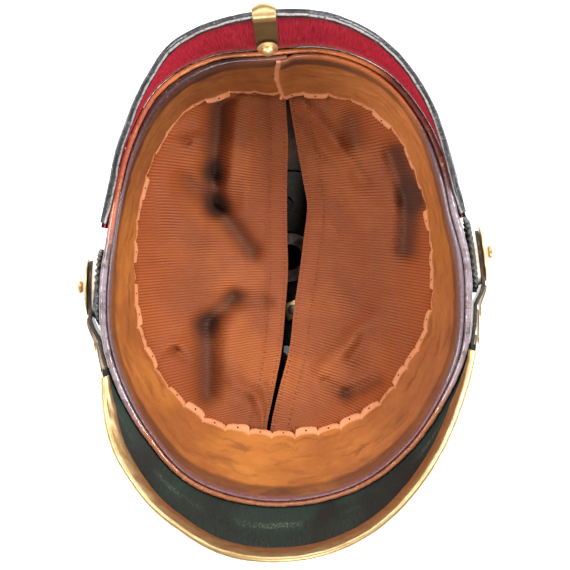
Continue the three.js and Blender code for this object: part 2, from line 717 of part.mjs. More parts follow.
// The strip is crowned on the outside of the helmet and flat where it turns over the edge.
const crownShare = (i, count) => clamp((count + 2 - i) / 3, 0, 1);

function spineSolid() {
  const { outside, inside } = spinePath();
  const path = [...outside, ...inside];
  const left = beside(path, SPINE_WALL / 2);
  const right = beside(path, -SPINE_WALL / 2);
  const leftCrown = beside(path, SPINE_WALL / 2 - SPINE_CROWN);
  const rightCrown = beside(path, -SPINE_WALL / 2 - SPINE_CROWN);
  const corner = (p, x) => new THREE.Vector3(x, p.x, RIM_HEIGHT + p.y);
  const half = SPINE_WIDTH / 2;
  const sections = path.map((unused, i) => {
    const share = crownShare(i, outside.length);
    const ridge = (edge, crown) => corner(edge[i].clone().lerp(crown[i], share), 0);
    return [
      corner(left[i], -half),
      ridge(left, leftCrown),
      corner(left[i], half),
      corner(right[i], half),
      ridge(right, rightCrown),
      corner(right[i], -half),
    ];
  });
  return loft(sections, false);
}
add('rear_spine', spineSolid(), FINISH.brass);

// A domed stud pins the spine's hooked end inside the guard.
const guardInside = flareSection(guard, 90, BINDING);
const studShare = (SPINE_STUD_DROP / guardInside[guardInside.length - 1].y) ** guard.sag;
const studRadius = mix(guardInside[1].x, guardInside[guardInside.length - 1].x, studShare);
const stud = add('spine_stud', lathe([
  [0, 0], [5, 0], [5, 0.8], [3.3, 1], [3.1, 2.4], [2, 3.6], [0, 4],
], 14), FINISH.brass);
stud.position.set(0, studRadius - SPINE_WALL - STUD_LIFT, RIM_HEIGHT + SPINE_STUD_DROP);
stud.rotation.x = radians(STUD_FACING);

// Side fittings, stacked outwards from the skull: a fluted cockade, the strap's end, a brass
// disc and a knob. The stack starts clear of the skull's widest place behind it.
function stationOf(name, middle) {
  const bearings = range(SIDE_SAMPLES, middle - SIDE_SPREAD, middle + SIDE_SPREAD);
  const widths = bearings.flatMap((bearing) => SKULL_SWINGS.slice(0, 3).map(
    (swing) => domePoint(bearing, swing, 0).x * Math.cos(radians(bearing - SIDE_FACING[name]))));
  return Math.max(...widths) + GAP + SIDE_STANDOFF[name];
}
const station = { right: stationOf('right', 0), left: stationOf('left', 180) };

function cockadeSolid() {
  const sections = bearingsAround(COCKADE_FLUTES * 2).map((turn, i) => {
    const angle = radians(turn);
    const flute = i % 2 ? 0.5 : 0;
    const at = (radius, out) => new THREE.Vector3(
      out, radius * Math.cos(angle), radius * Math.sin(angle));
    return [
      at(0, 0),
      at(COCKADE_RADIUS * 0.5, 0),
      at(COCKADE_RADIUS, -COCKADE_DISH),
      at(COCKADE_RADIUS, 0.5 - COCKADE_DISH + flute),
      at(COCKADE_RADIUS * 0.65, COCKADE_WALL - 0.5 + flute),
      at(0, COCKADE_WALL),
    ];
  });
  return loft(sections, true);
}

function sideStack(name) {
  const facing = radians(SIDE_FACING[name]);
  const y = SIDE_PLACE[name];
  const stack = new THREE.Group();
  stack.position.set((station[name] - y * Math.sin(facing)) / Math.cos(facing), y, RIM_HEIGHT - SIDE_DEPTH);
  stack.rotation.z = facing;
  group.add(stack);
  const place = (piece, geometry, finish, out) => {
    const mesh = add(`${piece}_${name}`, geometry, finish);
    mesh.position.x = out;
    stack.add(mesh);
    return mesh;
  };
  const discOut = COCKADE_WALL + STRAP_WALL + GAP * 2;
  place('cockade', cockadeSolid(), FINISH.blackened, 0);
  const disc = place('rosette', lathe([
    [0, 0], [ROSETTE_RADIUS, 0], [ROSETTE_RADIUS, ROSETTE_WALL],
    [ROSETTE_RADIUS * 0.72, ROSETTE_RISE * 0.6], [ROSETTE_RADIUS * 0.4, ROSETTE_RISE * 0.92],
    [0, ROSETTE_RISE],
  ], 20), FINISH.brass, discOut);
  disc.rotation.z = -Math.PI / 2;
  const knob = place('knob', lathe([
    [0, 0], [KNOB_RADIUS, 0], [KNOB_RADIUS, KNOB_HEIGHT * 0.6], [KNOB_RADIUS * 0.6, KNOB_HEIGHT],
    [0, KNOB_HEIGHT],
  ], 12), FINISH.brass, discOut + ROSETTE_RISE + GAP);
  knob.rotation.z = -Math.PI / 2;
}
sideStack('right');
sideStack('left');

// Chin strap: from the right side round the front to the left, on the crown side of the peak.
// Swing is the angle from the nearer side towards the front.
function strapRadius(bearing) {
  const name = bearing > -90 ? 'right' : 'left';
  const swing = name === 'right' ? -bearing : bearing + 180;
  const hug = rimAt(bearing) + STRAP_STANDOFF;
  const turned = (swing - STRAP_TURN[name]) / STRAP_TURN.over;
  if (turned > 1) return hug;
  const flat = (station[name] + COCKADE_WALL + GAP) / Math.cos(radians(bearing - SIDE_FACING[name]));
  return mix(flat, hug, ease(clamp(turned, 0, 1)));
}
const frontShare = (bearing) => clamp(1 - Math.abs(bearing + 90) / 90, 0, 1);

function strapSection(bearing) {
  const radius = strapRadius(bearing);
  const behind = Math.max(radius * Math.sin(radians(bearing)), 0);
  const round = Math.sqrt(Math.max(1 - (behind / STRAP_END) ** 2, STRAP_END_SHARE));
  const half = mix(STRAP_HALF.side, STRAP_HALF.front, frontShare(bearing)) * round;
  return [
    polar(bearing, radius, -SIDE_DEPTH - half),
    polar(bearing, radius, -SIDE_DEPTH + half),
    polar(bearing, radius + STRAP_WALL, -SIDE_DEPTH + half),
    polar(bearing, radius + STRAP_WALL, -SIDE_DEPTH - half),
  ];
}
add('chin_strap', loft(range(STRAP_COLUMNS + 1, 7, -187).map(strapSection), false), FINISH.welt);

// Brass scales overlap along the strap. A section gives one place in the run of scales, and
// each scale rises towards the front, over the start of the next, and has rounded sides.
const SCALE_PLACES = [0.03, 0.5, 0.97];

function scaleSection(from, to, scale, place) {
  const bearing = mix(from, to, (scale + place) / SCALES_A_SIDE);
  const inner = strapRadius(bearing) + STRAP_WALL + GAP;
  const rise = SCALE_RISE * place;
  const broad = mix(SCALE_HALF.side, SCALE_HALF.front, frontShare(bearing));
  const half = broad * mix(SCALE_WAIST, 1, Math.sin(Math.PI * place));
  const at = (out, share) => polar(bearing, inner + out, -SIDE_DEPTH + half * share);
  return [
    at(0, -1), at(0, 0), at(0, 1),
    at(SCALE_WALL + rise * 0.4, 1), at(SCALE_WALL + rise + 0.5, 0), at(SCALE_WALL + rise * 0.4, -1),
  ];
}
function scaleRun(from, to) {
  const sections = Array.from({ length: SCALES_A_SIDE }, (unused, scale) => SCALE_PLACES
    .map((place) => scaleSection(from, to, scale, place))).flat();
  return loft(sections, false);
}
add('scales_right', scaleRun(-9.2, -89.6), FINISH.brass);
add('scales_left', scaleRun(-170.8, -90.4), FINISH.brass);

export default group;
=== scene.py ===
"""A spiked leather parade helmet, turned over: it stands crown down with its hollow open.

Metres, +Z up. The origin is the centre of the flat end of the vent neck. The front peak
points to -Y, the neck guard to +Y, and the wearer's right side is +X. Bearings are degrees
from +X towards +Y, and heights and depths are counted from the plane of the rim.
"""

import logging
import math
from dataclasses import dataclass, field
from enum import Enum
from typing import Any, Callable, NamedTuple, Optional, Sequence, Union

import bpy
import numpy as np
from mathutils import Matrix, Vector


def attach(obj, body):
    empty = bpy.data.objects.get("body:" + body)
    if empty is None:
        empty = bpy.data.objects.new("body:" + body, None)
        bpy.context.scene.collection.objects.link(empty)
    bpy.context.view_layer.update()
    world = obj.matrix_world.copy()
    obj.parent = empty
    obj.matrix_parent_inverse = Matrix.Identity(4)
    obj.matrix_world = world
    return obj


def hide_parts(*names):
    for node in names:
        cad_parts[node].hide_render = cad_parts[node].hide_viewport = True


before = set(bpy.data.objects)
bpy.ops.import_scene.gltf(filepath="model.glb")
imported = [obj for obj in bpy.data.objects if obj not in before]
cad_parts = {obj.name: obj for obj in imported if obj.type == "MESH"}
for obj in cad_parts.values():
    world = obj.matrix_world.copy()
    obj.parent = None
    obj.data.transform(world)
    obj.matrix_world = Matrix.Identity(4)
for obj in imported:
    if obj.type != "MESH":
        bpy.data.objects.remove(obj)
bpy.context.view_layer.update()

LOG = logging.getLogger("helmet")
Array = np.ndarray
Piece = bpy.types.Object
Material = bpy.types.Material
Triple = tuple[float, float, float]
Colour = Triple
Surface = Callable[[Array, Array], Array]
Profile = Sequence[tuple[float, float]]

# The gap between neighbouring pieces, and how near two points are that count as one.
GAP = 0.0004
TOUCHING = 0.000002
# A whole turn and the bearing of the middle of the back, in degrees.
TURN = 360.0
BACK = 90.0
# The way along the rim of one degree, as the unevenness of a surface counts it.
DEGREE_RUN = 0.0018
# The sockets that a Mix node of colours has.
MIX_SHARE, MIX_LOW, MIX_HIGH, MIX_RESULT = 0, 6, 7, 2


class Section(NamedTuple):
    """The skull's edge at a bearing, the width of the rolled edges on it, and the band's hem."""

    bearing: float
    rim: float
    roll: float
    hem: float


class Edge(NamedTuple):
    """How far the free edge of a peak reaches out past the rim, and how far it falls."""

    bearing: float
    reach: float
    drop: float


class Slit(NamedTuple):
    """The facing edges of the lining's halves at one place, and how deep they hang."""

    y: float
    left: float
    right: float
    depth: float


class Fold(NamedTuple):
    """A ridge, or a valley where its height is negative, from one place to another."""

    x0: float
    y0: float
    x1: float
    y1: float
    height: float
    width: float


class Crease(NamedTuple):
    """A wrinkle in the band: where it starts and ends, its height and its half width."""

    bearing0: float
    depth0: float
    bearing1: float
    depth1: float
    height: float
    width: float


SECTIONS = (
    Section(0, 0.0895, 0.0075, 0.072),
    Section(15, 0.0883, 0.0065, 0.074),
    Section(30, 0.0938, 0.0065, 0.078),
    Section(45, 0.1015, 0.0055, 0.085),
    Section(60, 0.1085, 0.0055, 0.088),
    Section(75, 0.11, 0.0055, 0.086),
    Section(90, 0.1075, 0.0055, 0.0855),
    Section(105, 0.1105, 0.0065, 0.091),
    Section(120, 0.109, 0.0075, 0.092),
    Section(135, 0.1003, 0.006, 0.086),
    Section(150, 0.0926, 0.0048, 0.0805),
    Section(165, 0.0894, 0.0048, 0.077),
    Section(180, 0.0915, 0.006, 0.076),
    Section(195, 0.096, 0.0055, 0.079),
    Section(210, 0.101, 0.0055, 0.082),
    Section(225, 0.107, 0.005, 0.085),
    Section(240, 0.1145, 0.005, 0.086),
    Section(255, 0.116, 0.005, 0.0835),
    Section(270, 0.115, 0.0048, 0.083),
    Section(285, 0.1125, 0.0048, 0.083),
    Section(300, 0.107, 0.005, 0.081),
    Section(315, 0.101, 0.0055, 0.077),
    Section(330, 0.097, 0.0065, 0.0755),
    Section(345, 0.092, 0.007, 0.073),
)
PEAK_EDGE = (
    Edge(204, 0.0036, 0.002),
    Edge(212, 0.01, 0.008),
    Edge(222, 0.016, 0.0155),
    Edge(232, 0.018, 0.0215),
    Edge(242, 0.019, 0.0265),
    Edge(252, 0.0224, 0.0305),
    Edge(262, 0.023, 0.0315),
    Edge(272, 0.0222, 0.031),
    Edge(282, 0.0196, 0.029),
    Edge(292, 0.016, 0.0255),
    Edge(302, 0.0124, 0.0205),
    Edge(312, 0.0095, 0.0145),
    Edge(322, 0.0065, 0.0085),
    Edge(334, 0.0036, 0.002),
)
GUARD_EDGE = (
    Edge(12.5, 0.0035, 0.0012),
    Edge(18, 0.0035, 0.0022),
    Edge(26, 0.0034, 0.007),
    Edge(36, 0.0044, 0.017),
    Edge(46, 0.007, 0.0265),
    Edge(56, 0.0097, 0.037),
    Edge(66, 0.0132, 0.0455),
    Edge(78, 0.0166, 0.052),
    Edge(90, 0.0183, 0.0545),
    Edge(102, 0.015, 0.0525),
    Edge(112, 0.012, 0.048),
    Edge(120, 0.0065, 0.0405),
    Edge(130, 0.0038, 0.029),
    Edge(140, 0.0036, 0.017),
    Edge(148, 0.0034, 0.0085),
    Edge(156, 0.0034, 0.0024),
    Edge(162, 0.0035, 0.0012),
)
SLIT = (
    Slit(-0.086, -0.018, -0.016, 0.05),
    Slit(-0.078, -0.0163, -0.0142, 0.054),
    Slit(-0.063, -0.0119, -0.0093, 0.065),
    Slit(-0.045, -0.007, -0.003, 0.073),
    Slit(-0.025, -0.0036, 0.001, 0.079),
    Slit(-0.005, -0.0006, 0.0056, 0.082),
    Slit(0.013, 0.0005, 0.0093, 0.082),
    Slit(0.028, 0.0016, 0.0121, 0.08),
    Slit(0.042, 0.0028, 0.011, 0.076),
    Slit(0.062, 0.005, 0.0092, 0.066),
    Slit(0.08, 0.0056, 0.0077, 0.053),
    Slit(0.0885, 0.006, 0.0072, 0.05),
)
SLIT_LENGTH = SLIT[-1].y - SLIT[0].y
FOLDS = (
    Fold(-0.0272, 0.086, -0.0343, 0.0495, -0.009, 0.008),
    Fold(-0.0343, 0.0495, -0.0347, 0.032, -0.006, 0.007),
    Fold(-0.049, 0.0465, -0.0357, 0.032, -0.005, 0.006),
    Fold(-0.0347, 0.032, -0.0192, 0.0069, -0.007, 0.007),
    Fold(-0.0467, -0.0637, -0.0449, -0.029, -0.008, 0.008),
    Fold(-0.0449, -0.029, -0.0304, -0.0166, -0.006, 0.007),
    Fold(-0.0304, -0.0166, -0.012, -0.0201, -0.004, 0.0055),
    Fold(0.0599, 0.0523, 0.0659, 0.0296, -0.01, 0.008),
    Fold(0.0659, 0.0296, 0.0612, 0.0026, -0.009, 0.008),
    Fold(0.0387, 0.0715, 0.0403, 0.059, -0.005, 0.007),
    Fold(0.0245, -0.0694, 0.0416, -0.0634, -0.005, 0.0045),
)
# Small puckers of the silk, which the solids leave out.
PUCKERS = (
    Fold(0.0131, -0.056, 0.0314, -0.0413, 0.004, 0.007),
    Fold(0.0314, -0.0413, 0.0409, -0.0321, 0.0035, 0.007),
    Fold(-0.0193, 0.0813, -0.0268, 0.0458, 0.004, 0.008),
    Fold(-0.0588, 0.0411, -0.0463, 0.0174, 0.003, 0.01),
    Fold(-0.0317, -0.0326, -0.0361, -0.0604, 0.004, 0.01),
    Fold(-0.07, -0.0442, -0.0613, -0.0391, -0.0035, 0.0024),
    Fold(-0.0613, -0.0391, -0.0561, -0.0447, -0.0025, 0.0024),
    Fold(-0.0718, -0.0398, -0.0605, -0.035, 0.0024, 0.004),
    Fold(-0.0761, 0.0073, -0.0613, 0.0046, -0.0016, 0.0022),
    Fold(-0.0564, 0.0698, -0.0468, 0.0665, -0.0026, 0.003),
    Fold(-0.0468, 0.0665, -0.0394, 0.0685, -0.0022, 0.003),
    Fold(-0.0539, 0.0748, -0.0406, 0.0732, 0.003, 0.005),
    Fold(-0.0317, -0.0581, -0.0219, -0.0652, 0.0035, 0.0045),
    Fold(-0.0219, -0.0652, -0.0168, -0.0797, 0.003, 0.004),
    Fold(-0.0175, -0.0619, -0.0131, -0.0779, -0.002, 0.003),
    Fold(-0.0138, 0.0788, -0.0192, 0.0312, 0.002, 0.004),
    Fold(0.0147, 0.0811, 0.03, 0.0588, 0.003, 0.005),
    Fold(0.03, 0.0588, 0.0423, 0.0387, 0.0026, 0.005),
    Fold(0.0122, 0.0746, 0.0259, 0.0529, -0.0016, 0.004),
    Fold(0.0141, -0.0628, 0.0245, -0.0694, -0.0035, 0.004),
    Fold(0.029, -0.0515, 0.035, -0.041, -0.004, 0.005),
    Fold(0.0412, 0.0378, 0.0426, -0.0042, 0.0024, 0.007),
    Fold(0.024, -0.01, 0.0355, -0.0213, -0.0024, 0.009),
    Fold(0.0478, -0.0233, 0.054, -0.0498, 0.002, 0.008),
    Fold(0.0033, -0.0354, -0.0016, -0.0715, 0.0016, 0.005),
)
CREASES = (
    Crease(98, 0.006, 116, 0.026, 0.0009, 0.0016),
    Crease(101, 0.012, 112, 0.034, -0.0009, 0.0014),
    Crease(106, 0.005, 128, 0.017, 0.001, 0.0018),
    Crease(112, 0.014, 131, 0.031, 0.0009, 0.0017),
    Crease(117, 0.02, 126, 0.04, -0.001, 0.0016),
    Crease(122, 0.006, 141, 0.014, 0.0009, 0.0016),
    Crease(133, 0.012, 149, 0.03, 0.0008, 0.0018),
    Crease(144, 0.006, 160, 0.017, 0.0007, 0.0018),
    Crease(64, 0.008, 80, 0.017, 0.0007, 0.0018),
    Crease(44, 0.01, 68, 0.026, 0.0008, 0.002),
    Crease(36, 0.006, 52, 0.012, -0.0006, 0.0018),
    Crease(18, 0.016, 34, 0.032, 0.0006, 0.0022),
    Crease(198, 0.01, 216, 0.021, 0.0005, 0.002),
    Crease(236, 0.012, 258, 0.018, 0.0006, 0.0022),
    Crease(282, 0.014, 306, 0.022, 0.0005, 0.0022),
    Crease(318, 0.008, 336, 0.024, 0.0005, 0.002),
)


def mix(low: Any, high: Any, share: Any) -> Any:
    """Gives the value at a share of the way from low to high."""
    return low + (high - low) * share


def ease(share: Any) -> Any:
    """Gives a share that starts and stops gently, held between 0 and 1."""
    held = np.clip(share, 0, 1)
    return held * held * (3 - 2 * held)


def hill(distance: Any, width: float) -> Any:
    """Gives 1 at no distance, falling smoothly to nothing past about twice the width."""
    return np.exp(-1.6 * (distance / width) ** 2)


def tone(red: int, green: int, blue: int) -> Colour:
    """Turns a colour of 0 to 255 a channel, as a screen shows it, into linear light."""
    shares = (red / 255, green / 255, blue / 255)
    return tuple(s / 12.92 if s <= 0.04045 else ((s + 0.055) / 1.055) ** 2.4 for s in shares)


class Relief(NamedTuple):
    """Smooth unevenness: its height, the length of its widest waves, and its pattern.

    The waves are halved in size and height from one octave to the next.
    """

    height: float
    size: float
    seed: int
    octaves: int = 3
    waves: int = 5

    def at(self, x: Array, y: Array) -> Array:
        """Gives the unevenness, which is the same in each run.

        Args:
            x: First coordinate, in metres.
            y: Second coordinate, in metres.

        Returns:
            The height at each place.
        """
        draw = np.random.default_rng(self.seed)
        total = np.zeros_like(x, dtype=float)
        for octave in range(self.octaves):
            for _ in range(self.waves):
                angle, phase = draw.uniform(0, math.tau, 2)
                rate = math.tau / self.size * 2**octave * draw.uniform(0.7, 1.3)
                total += 0.5**octave * np.sin(rate * (x * math.cos(angle) + y * math.sin(angle)) + phase)
        return self.height * (total / self.waves)


class Curve:
    """A smooth curve through one column of a table, as the solids have it."""

    def __init__(self, keys: Sequence[float], values: Sequence[float], closed: bool = False) -> None:
        """Works out the slopes.

        Args:
            keys: Places in rising order.
            values: The value at each place.
            closed: Whether the places are bearings that go all the way round.
        """
        key = np.asarray(keys, float)
        value = np.asarray(values, float)
        self.closed = closed
        if closed:
            key = np.concatenate([[key[-1] - TURN], key, [key[0] + TURN, key[1] + TURN]])
            value = np.concatenate([[value[-1]], value, value[:2]])
        after = np.minimum(np.arange(len(key)) + 1, len(key) - 1)
        before = np.maximum(np.arange(len(key)) - 1, 0)
        self.slopes = (value[after] - value[before]) / (key[after] - key[before])
        self.keys = key
        self.values = value

    def __call__(self, place: Any) -> Array:
        """Gives the values at one or more places.

        Args:
            place: One place or more.

        Returns:
            The values there.
        """
        given = np.asarray(place, float)
        first = self.keys[1] if self.closed else self.keys[0]
        at = (given - first) % TURN + first if self.closed else given
        i = np.clip(np.searchsorted(self.keys, at, side="right") - 1, 0, len(self.keys) - 2)
        span = self.keys[i + 1] - self.keys[i]
        t = np.clip((at - self.keys[i]) / span, 0, 1)
        start = (2 * t**3 - 3 * t**2 + 1) * self.values[i] + (t**3 - 2 * t**2 + t) * self.slopes[i] * span
        end = (3 * t**2 - 2 * t**3) * self.values[i + 1] + (t**3 - t**2) * self.slopes[i + 1] * span
        return start + end


def column(rows: Sequence[Any], name: str, key: str = "bearing", closed: bool = False) -> Curve:
    """Makes the curve through one named column of a table."""
    return Curve([getattr(r, key) for r in rows], [getattr(r, name) for r in rows], closed)


@dataclass(frozen=True)
class Form:
    """The skull's shape, which all the other pieces are placed by."""

    rim_height: float = 0.147
    dome_height: float = 0.125
    wall: float = 0.0025
    edge_drop: float = 0.0016
    bulge: float = 0.0022
    bulge_depth: float = 0.075
    fullness: float = 0.87
    crown_radius: float = 0.101
    crown_pull: int = 4
    search_from: float = 20.0
    halvings: int = 36
    vent_radius: float = 0.007
    band_depth: float = 0.045
    band_wall: float = 0.0015
    side_depth: float = 0.019
    rim: Curve = field(default_factory=lambda: column(SECTIONS, "rim", closed=True))
    roll: Curve = field(default_factory=lambda: column(SECTIONS, "roll", closed=True))
    hem: Curve = field(default_factory=lambda: column(SECTIONS, "hem", closed=True))

    def polar(self, bearing: Any, radius: Any, height: Any) -> Array:
        """Gives points from bearings, radii and heights over the rim plane."""
        angle = np.radians(bearing)
        flat = np.broadcast_arrays(radius * np.cos(angle), radius * np.sin(angle), height + 0.0 * angle)
        return np.stack([flat[0], flat[1], flat[2] + self.rim_height], axis=-1)

    def dome(self, bearing: Any, swing: Any, inset: float = 0.0) -> tuple[Array, Array]:
        """Gives the dome's radius and height.

        Args:
            bearing: Direction in degrees.
            swing: 0 at the rim and 90 at the crown.
            inset: How far the surface is moved inwards.

        Returns:
            The radius and the height.
        """
        rise = np.sin(np.radians(swing))
        depth = (self.dome_height - inset) * rise**self.fullness
        base = mix(self.rim(bearing), self.crown_radius, rise**self.crown_pull) - inset
        bulge = self.bulge * np.sin(np.pi * np.clip(depth / self.bulge_depth, 0, 1))
        return base * np.cos(np.radians(swing)) ** self.fullness + bulge, -depth

    def swing_at(self, bearing: Any, radius: Any, inset: float = 0.0) -> Array:
        """Finds the swing at which the dome has a radius.

        Args:
            bearing: Direction in degrees.
            radius: The radius to reach.
            inset: How far the surface is moved inwards.

        Returns:
            The swing in degrees.
        """
        low = np.full(np.broadcast(bearing, radius).shape, self.search_from)
        high = np.full(low.shape, 90.0)
        for _ in range(self.halvings):
            middle = (low + high) / 2
            wide = self.dome(bearing, middle, inset)[0] > radius
            low = np.where(wide, middle, low)
            high = np.where(wide, high, middle)
        return (low + high) / 2

    def crown_level(self, bearing: Any, radius: Any, inset: float) -> Array:
        """Gives the height of the crown's surface at a radius."""
        return self.dome(bearing, self.swing_at(bearing, radius, inset), inset)[1]

    def radius_at(self, bearing: Any, depth: Any) -> Array:
        """Gives the skull's outer radius at a depth under the rim."""
        rise = (depth / self.dome_height) ** (1 / self.fullness)
        return self.dome(bearing, np.degrees(np.arcsin(rise)))[0]

    def groove(self, bearing: Any) -> Array:
        """Gives the radius of the groove inside the rolled edge."""
        return self.rim(bearing) - self.roll(bearing)

    def band_radius(self, bearing: Any, depth: Any) -> Array:
        """Gives the radius of the sweatband's face at a depth."""
        return mix(self.groove(bearing), self.hem(bearing), np.clip(depth / self.band_depth, 0, 1))


FORM = Form()
MIDDLE = (0, 0, FORM.rim_height)


def deselect_all() -> None:
    """Leaves no object selected."""
    bpy.ops.object.select_all(action="DESELECT")


def work_on(piece: Piece) -> None:
    """Makes one piece the only selected one and the active one."""
    deselect_all()
    piece.select_set(True)
    bpy.context.view_layer.objects.active = piece


def points_of(piece: Piece) -> Array:
    """Reads the points of a mesh."""
    flat = np.empty(len(piece.data.vertices) * 3)
    piece.data.vertices.foreach_get("co", flat)
    return flat.reshape(-1, 3)


def set_points(piece: Piece, points: Array) -> None:
    """Moves the points of a mesh."""
    piece.data.vertices.foreach_set("co", np.ascontiguousarray(points, float).ravel())
    piece.data.update()


def take_name(piece: Piece, name: str) -> Piece:
    """Names an object and its mesh."""
    piece.name = name
    piece.data.name = name
    return piece


def edited(piece: Piece, operator: Callable[..., Any], **settings: Any) -> None:
    """Runs an operator of edit mode on all of a piece.

    Args:
        piece: The piece.
        operator: The operator.
        settings: The operator's settings.
    """
    work_on(piece)
    bpy.ops.object.mode_set(mode="EDIT")
    bpy.ops.mesh.select_all(action="SELECT")
    operator(**settings)
    bpy.ops.object.mode_set(mode="OBJECT")


def face(piece: Piece, point: Sequence[float], away: bool) -> None:
    """Turns an open sheet so that most of it faces a point, or away from it.

    Args:
        piece: The sheet.
        point: The point it is turned by.
        away: Whether it faces away from the point.
    """
    normals = np.array([p.normal for p in piece.data.polygons])
    centres = np.array([p.center for p in piece.data.polygons])
    areas = np.array([p.area for p in piece.data.polygons])
    outward = float((areas * ((centres - np.array(point)) * normals).sum(1)).sum()) > 0
    if outward != away:
        edited(piece, bpy.ops.mesh.flip_normals)


def modify(piece: Piece, kind: str, **settings: Any) -> None:
    """Adds a modifier with its settings and applies it.

    Args:
        piece: The piece.
        kind: The modifier's type.
        settings: Its settings.
    """
    work_on(piece)
    added = piece.modifiers.new(kind.title(), kind)
    for name, value in settings.items():
        setattr(added, name, value)
    bpy.ops.object.modifier_apply(modifier=added.name)


def thicken(piece: Piece, wall: float, grow: float = -1.0, back: int = 0, rim: int = 0) -> None:
    """Gives a sheet its wall.

    Args:
        piece: The sheet.
        wall: Thickness of the wall.
        grow: -1 puts the wall behind the faces, 1 in front of them.
        back: How many material slots on the back's finish is.
        rim: How many material slots on the edge's finish is.
    """
    modify(piece, "SOLIDIFY", thickness=wall, offset=grow, use_even_offset=False,
           material_offset=back, material_offset_rim=rim)


def round_edges(piece: Piece, width: float, segments: int = 2, angle: float = 40) -> None:
    """Rounds the sharp edges of a piece."""
    modify(piece, "BEVEL", width=width, segments=segments, limit_method="ANGLE",
           angle_limit=math.radians(angle), use_clamp_overlap=True)


def shade(piece: Piece, angle: float = 40) -> None:
    """Shades a piece smooth, apart from its sharp edges."""
    work_on(piece)
    bpy.ops.object.shade_smooth_by_angle(angle=math.radians(angle))


def carried_grid(name: str, columns: int, rows: int, surface: Surface,
                 closed: bool = False) -> Piece:
    """Makes a sheet by carrying the points of a flat grid onto a surface.

    Args:
        name: The piece's name.
        columns: Faces along the first direction.
        rows: Faces along the second direction.
        surface: Gives the points for two arrays of shares from 0 to 1.
        closed: Whether edges that meet are joined.

    Returns:
        The sheet, with a UV map of the two shares.
    """
    deselect_all()
    bpy.ops.mesh.primitive_grid_add(x_subdivisions=columns, y_subdivisions=rows, size=1)
    piece = take_name(bpy.context.object, name)
    flat = points_of(piece)
    set_points(piece, surface(flat[:, 0] + 0.5, flat[:, 1] + 0.5))
    if closed:
        edited(piece, bpy.ops.mesh.remove_doubles, threshold=TOUCHING)
    return piece


def turned(name: str, profile: Profile, sides: int = 64) -> Piece:
    """Turns a piece about Z: a disc is extruded and resized from one step to the next.

    Args:
        name: The piece's name.
        profile: Radii and heights.
        sides: Faces around.

    Returns:
        The closed piece, with its faces outwards.
    """
    deselect_all()
    radius, height = profile[0]
    bpy.ops.mesh.primitive_circle_add(vertices=sides, radius=radius, location=(0, 0, 0), fill_type="NGON")
    piece = take_name(bpy.context.object, name)
    bpy.ops.object.mode_set(mode="EDIT")
    bpy.ops.mesh.select_all(action="SELECT")
    bpy.ops.transform.translate(value=(0, 0, height))
    for wider, higher in profile[1:]:
        bpy.ops.mesh.extrude_region_move()
        bpy.ops.transform.translate(value=(0, 0, higher - height))
        bpy.ops.transform.resize(value=(wider / radius, wider / radius, 1), center_override=(0, 0, 0))
        radius, height = wider, higher
    bpy.ops.object.mode_set(mode="OBJECT")
    edited(piece, bpy.ops.mesh.remove_doubles, threshold=TOUCHING)
    edited(piece, bpy.ops.mesh.normals_make_consistent, inside=False)
    return piece


def many_of(name: str, pattern: Piece, places: Sequence[Matrix]) -> Piece:
    """Makes one mesh of many copies of a small pattern, which is used up.

    Args:
        name: The new piece's name.
        pattern: The small piece.
        places: Where each copy goes.

    Returns:
        The joined piece.
    """
    points = points_of(pattern)
    padded = np.hstack([points, np.ones((len(points), 1))])
    faces = [tuple(p.vertices) for p in pattern.data.polygons]
    all_points = np.concatenate([(padded @ np.array(m).T)[:, :3] for m in places])
    all_faces = [tuple(v + i * len(points) for v in f) for i in range(len(places)) for f in faces]
    mesh = bpy.data.meshes.new(name)
    mesh.from_pydata(all_points.tolist(), [], all_faces)
    piece = bpy.data.objects.new(name, mesh)
    bpy.context.scene.collection.objects.link(piece)
    bpy.data.objects.remove(pattern)
    return piece


def joined(name: str, pieces: Sequence[Piece]) -> Piece:
    """Joins pieces into one with a name.

    Args:
        name: The new piece's name.
        pieces: The pieces, which are used up.

    Returns:
        The joined piece.
    """
    deselect_all()
    for piece in pieces:
        piece.select_set(True)
    bpy.context.view_layer.objects.active = pieces[0]
    bpy.ops.object.join()
    return take_name(pieces[0], name)


def put(piece: Piece, place: Matrix) -> Piece:
    """Moves a piece's mesh, while its object stays at the origin."""
    piece.data.transform(place)
    return piece


def publish(piece: Piece, slot: str, *nodes: str) -> None:
    """Fixes a finished piece to the helmet.

    Args:
        piece: The finished piece.
        slot: The piece's material slot in the record; not used.
        nodes: The solids that it stands for.
    """
    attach(piece, "root")
    if nodes:
        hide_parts(*nodes)
    LOG.info("%s: %d faces", piece.name, len(piece.data.polygons))


Value = Union["Wire", float, int, Colour, tuple]


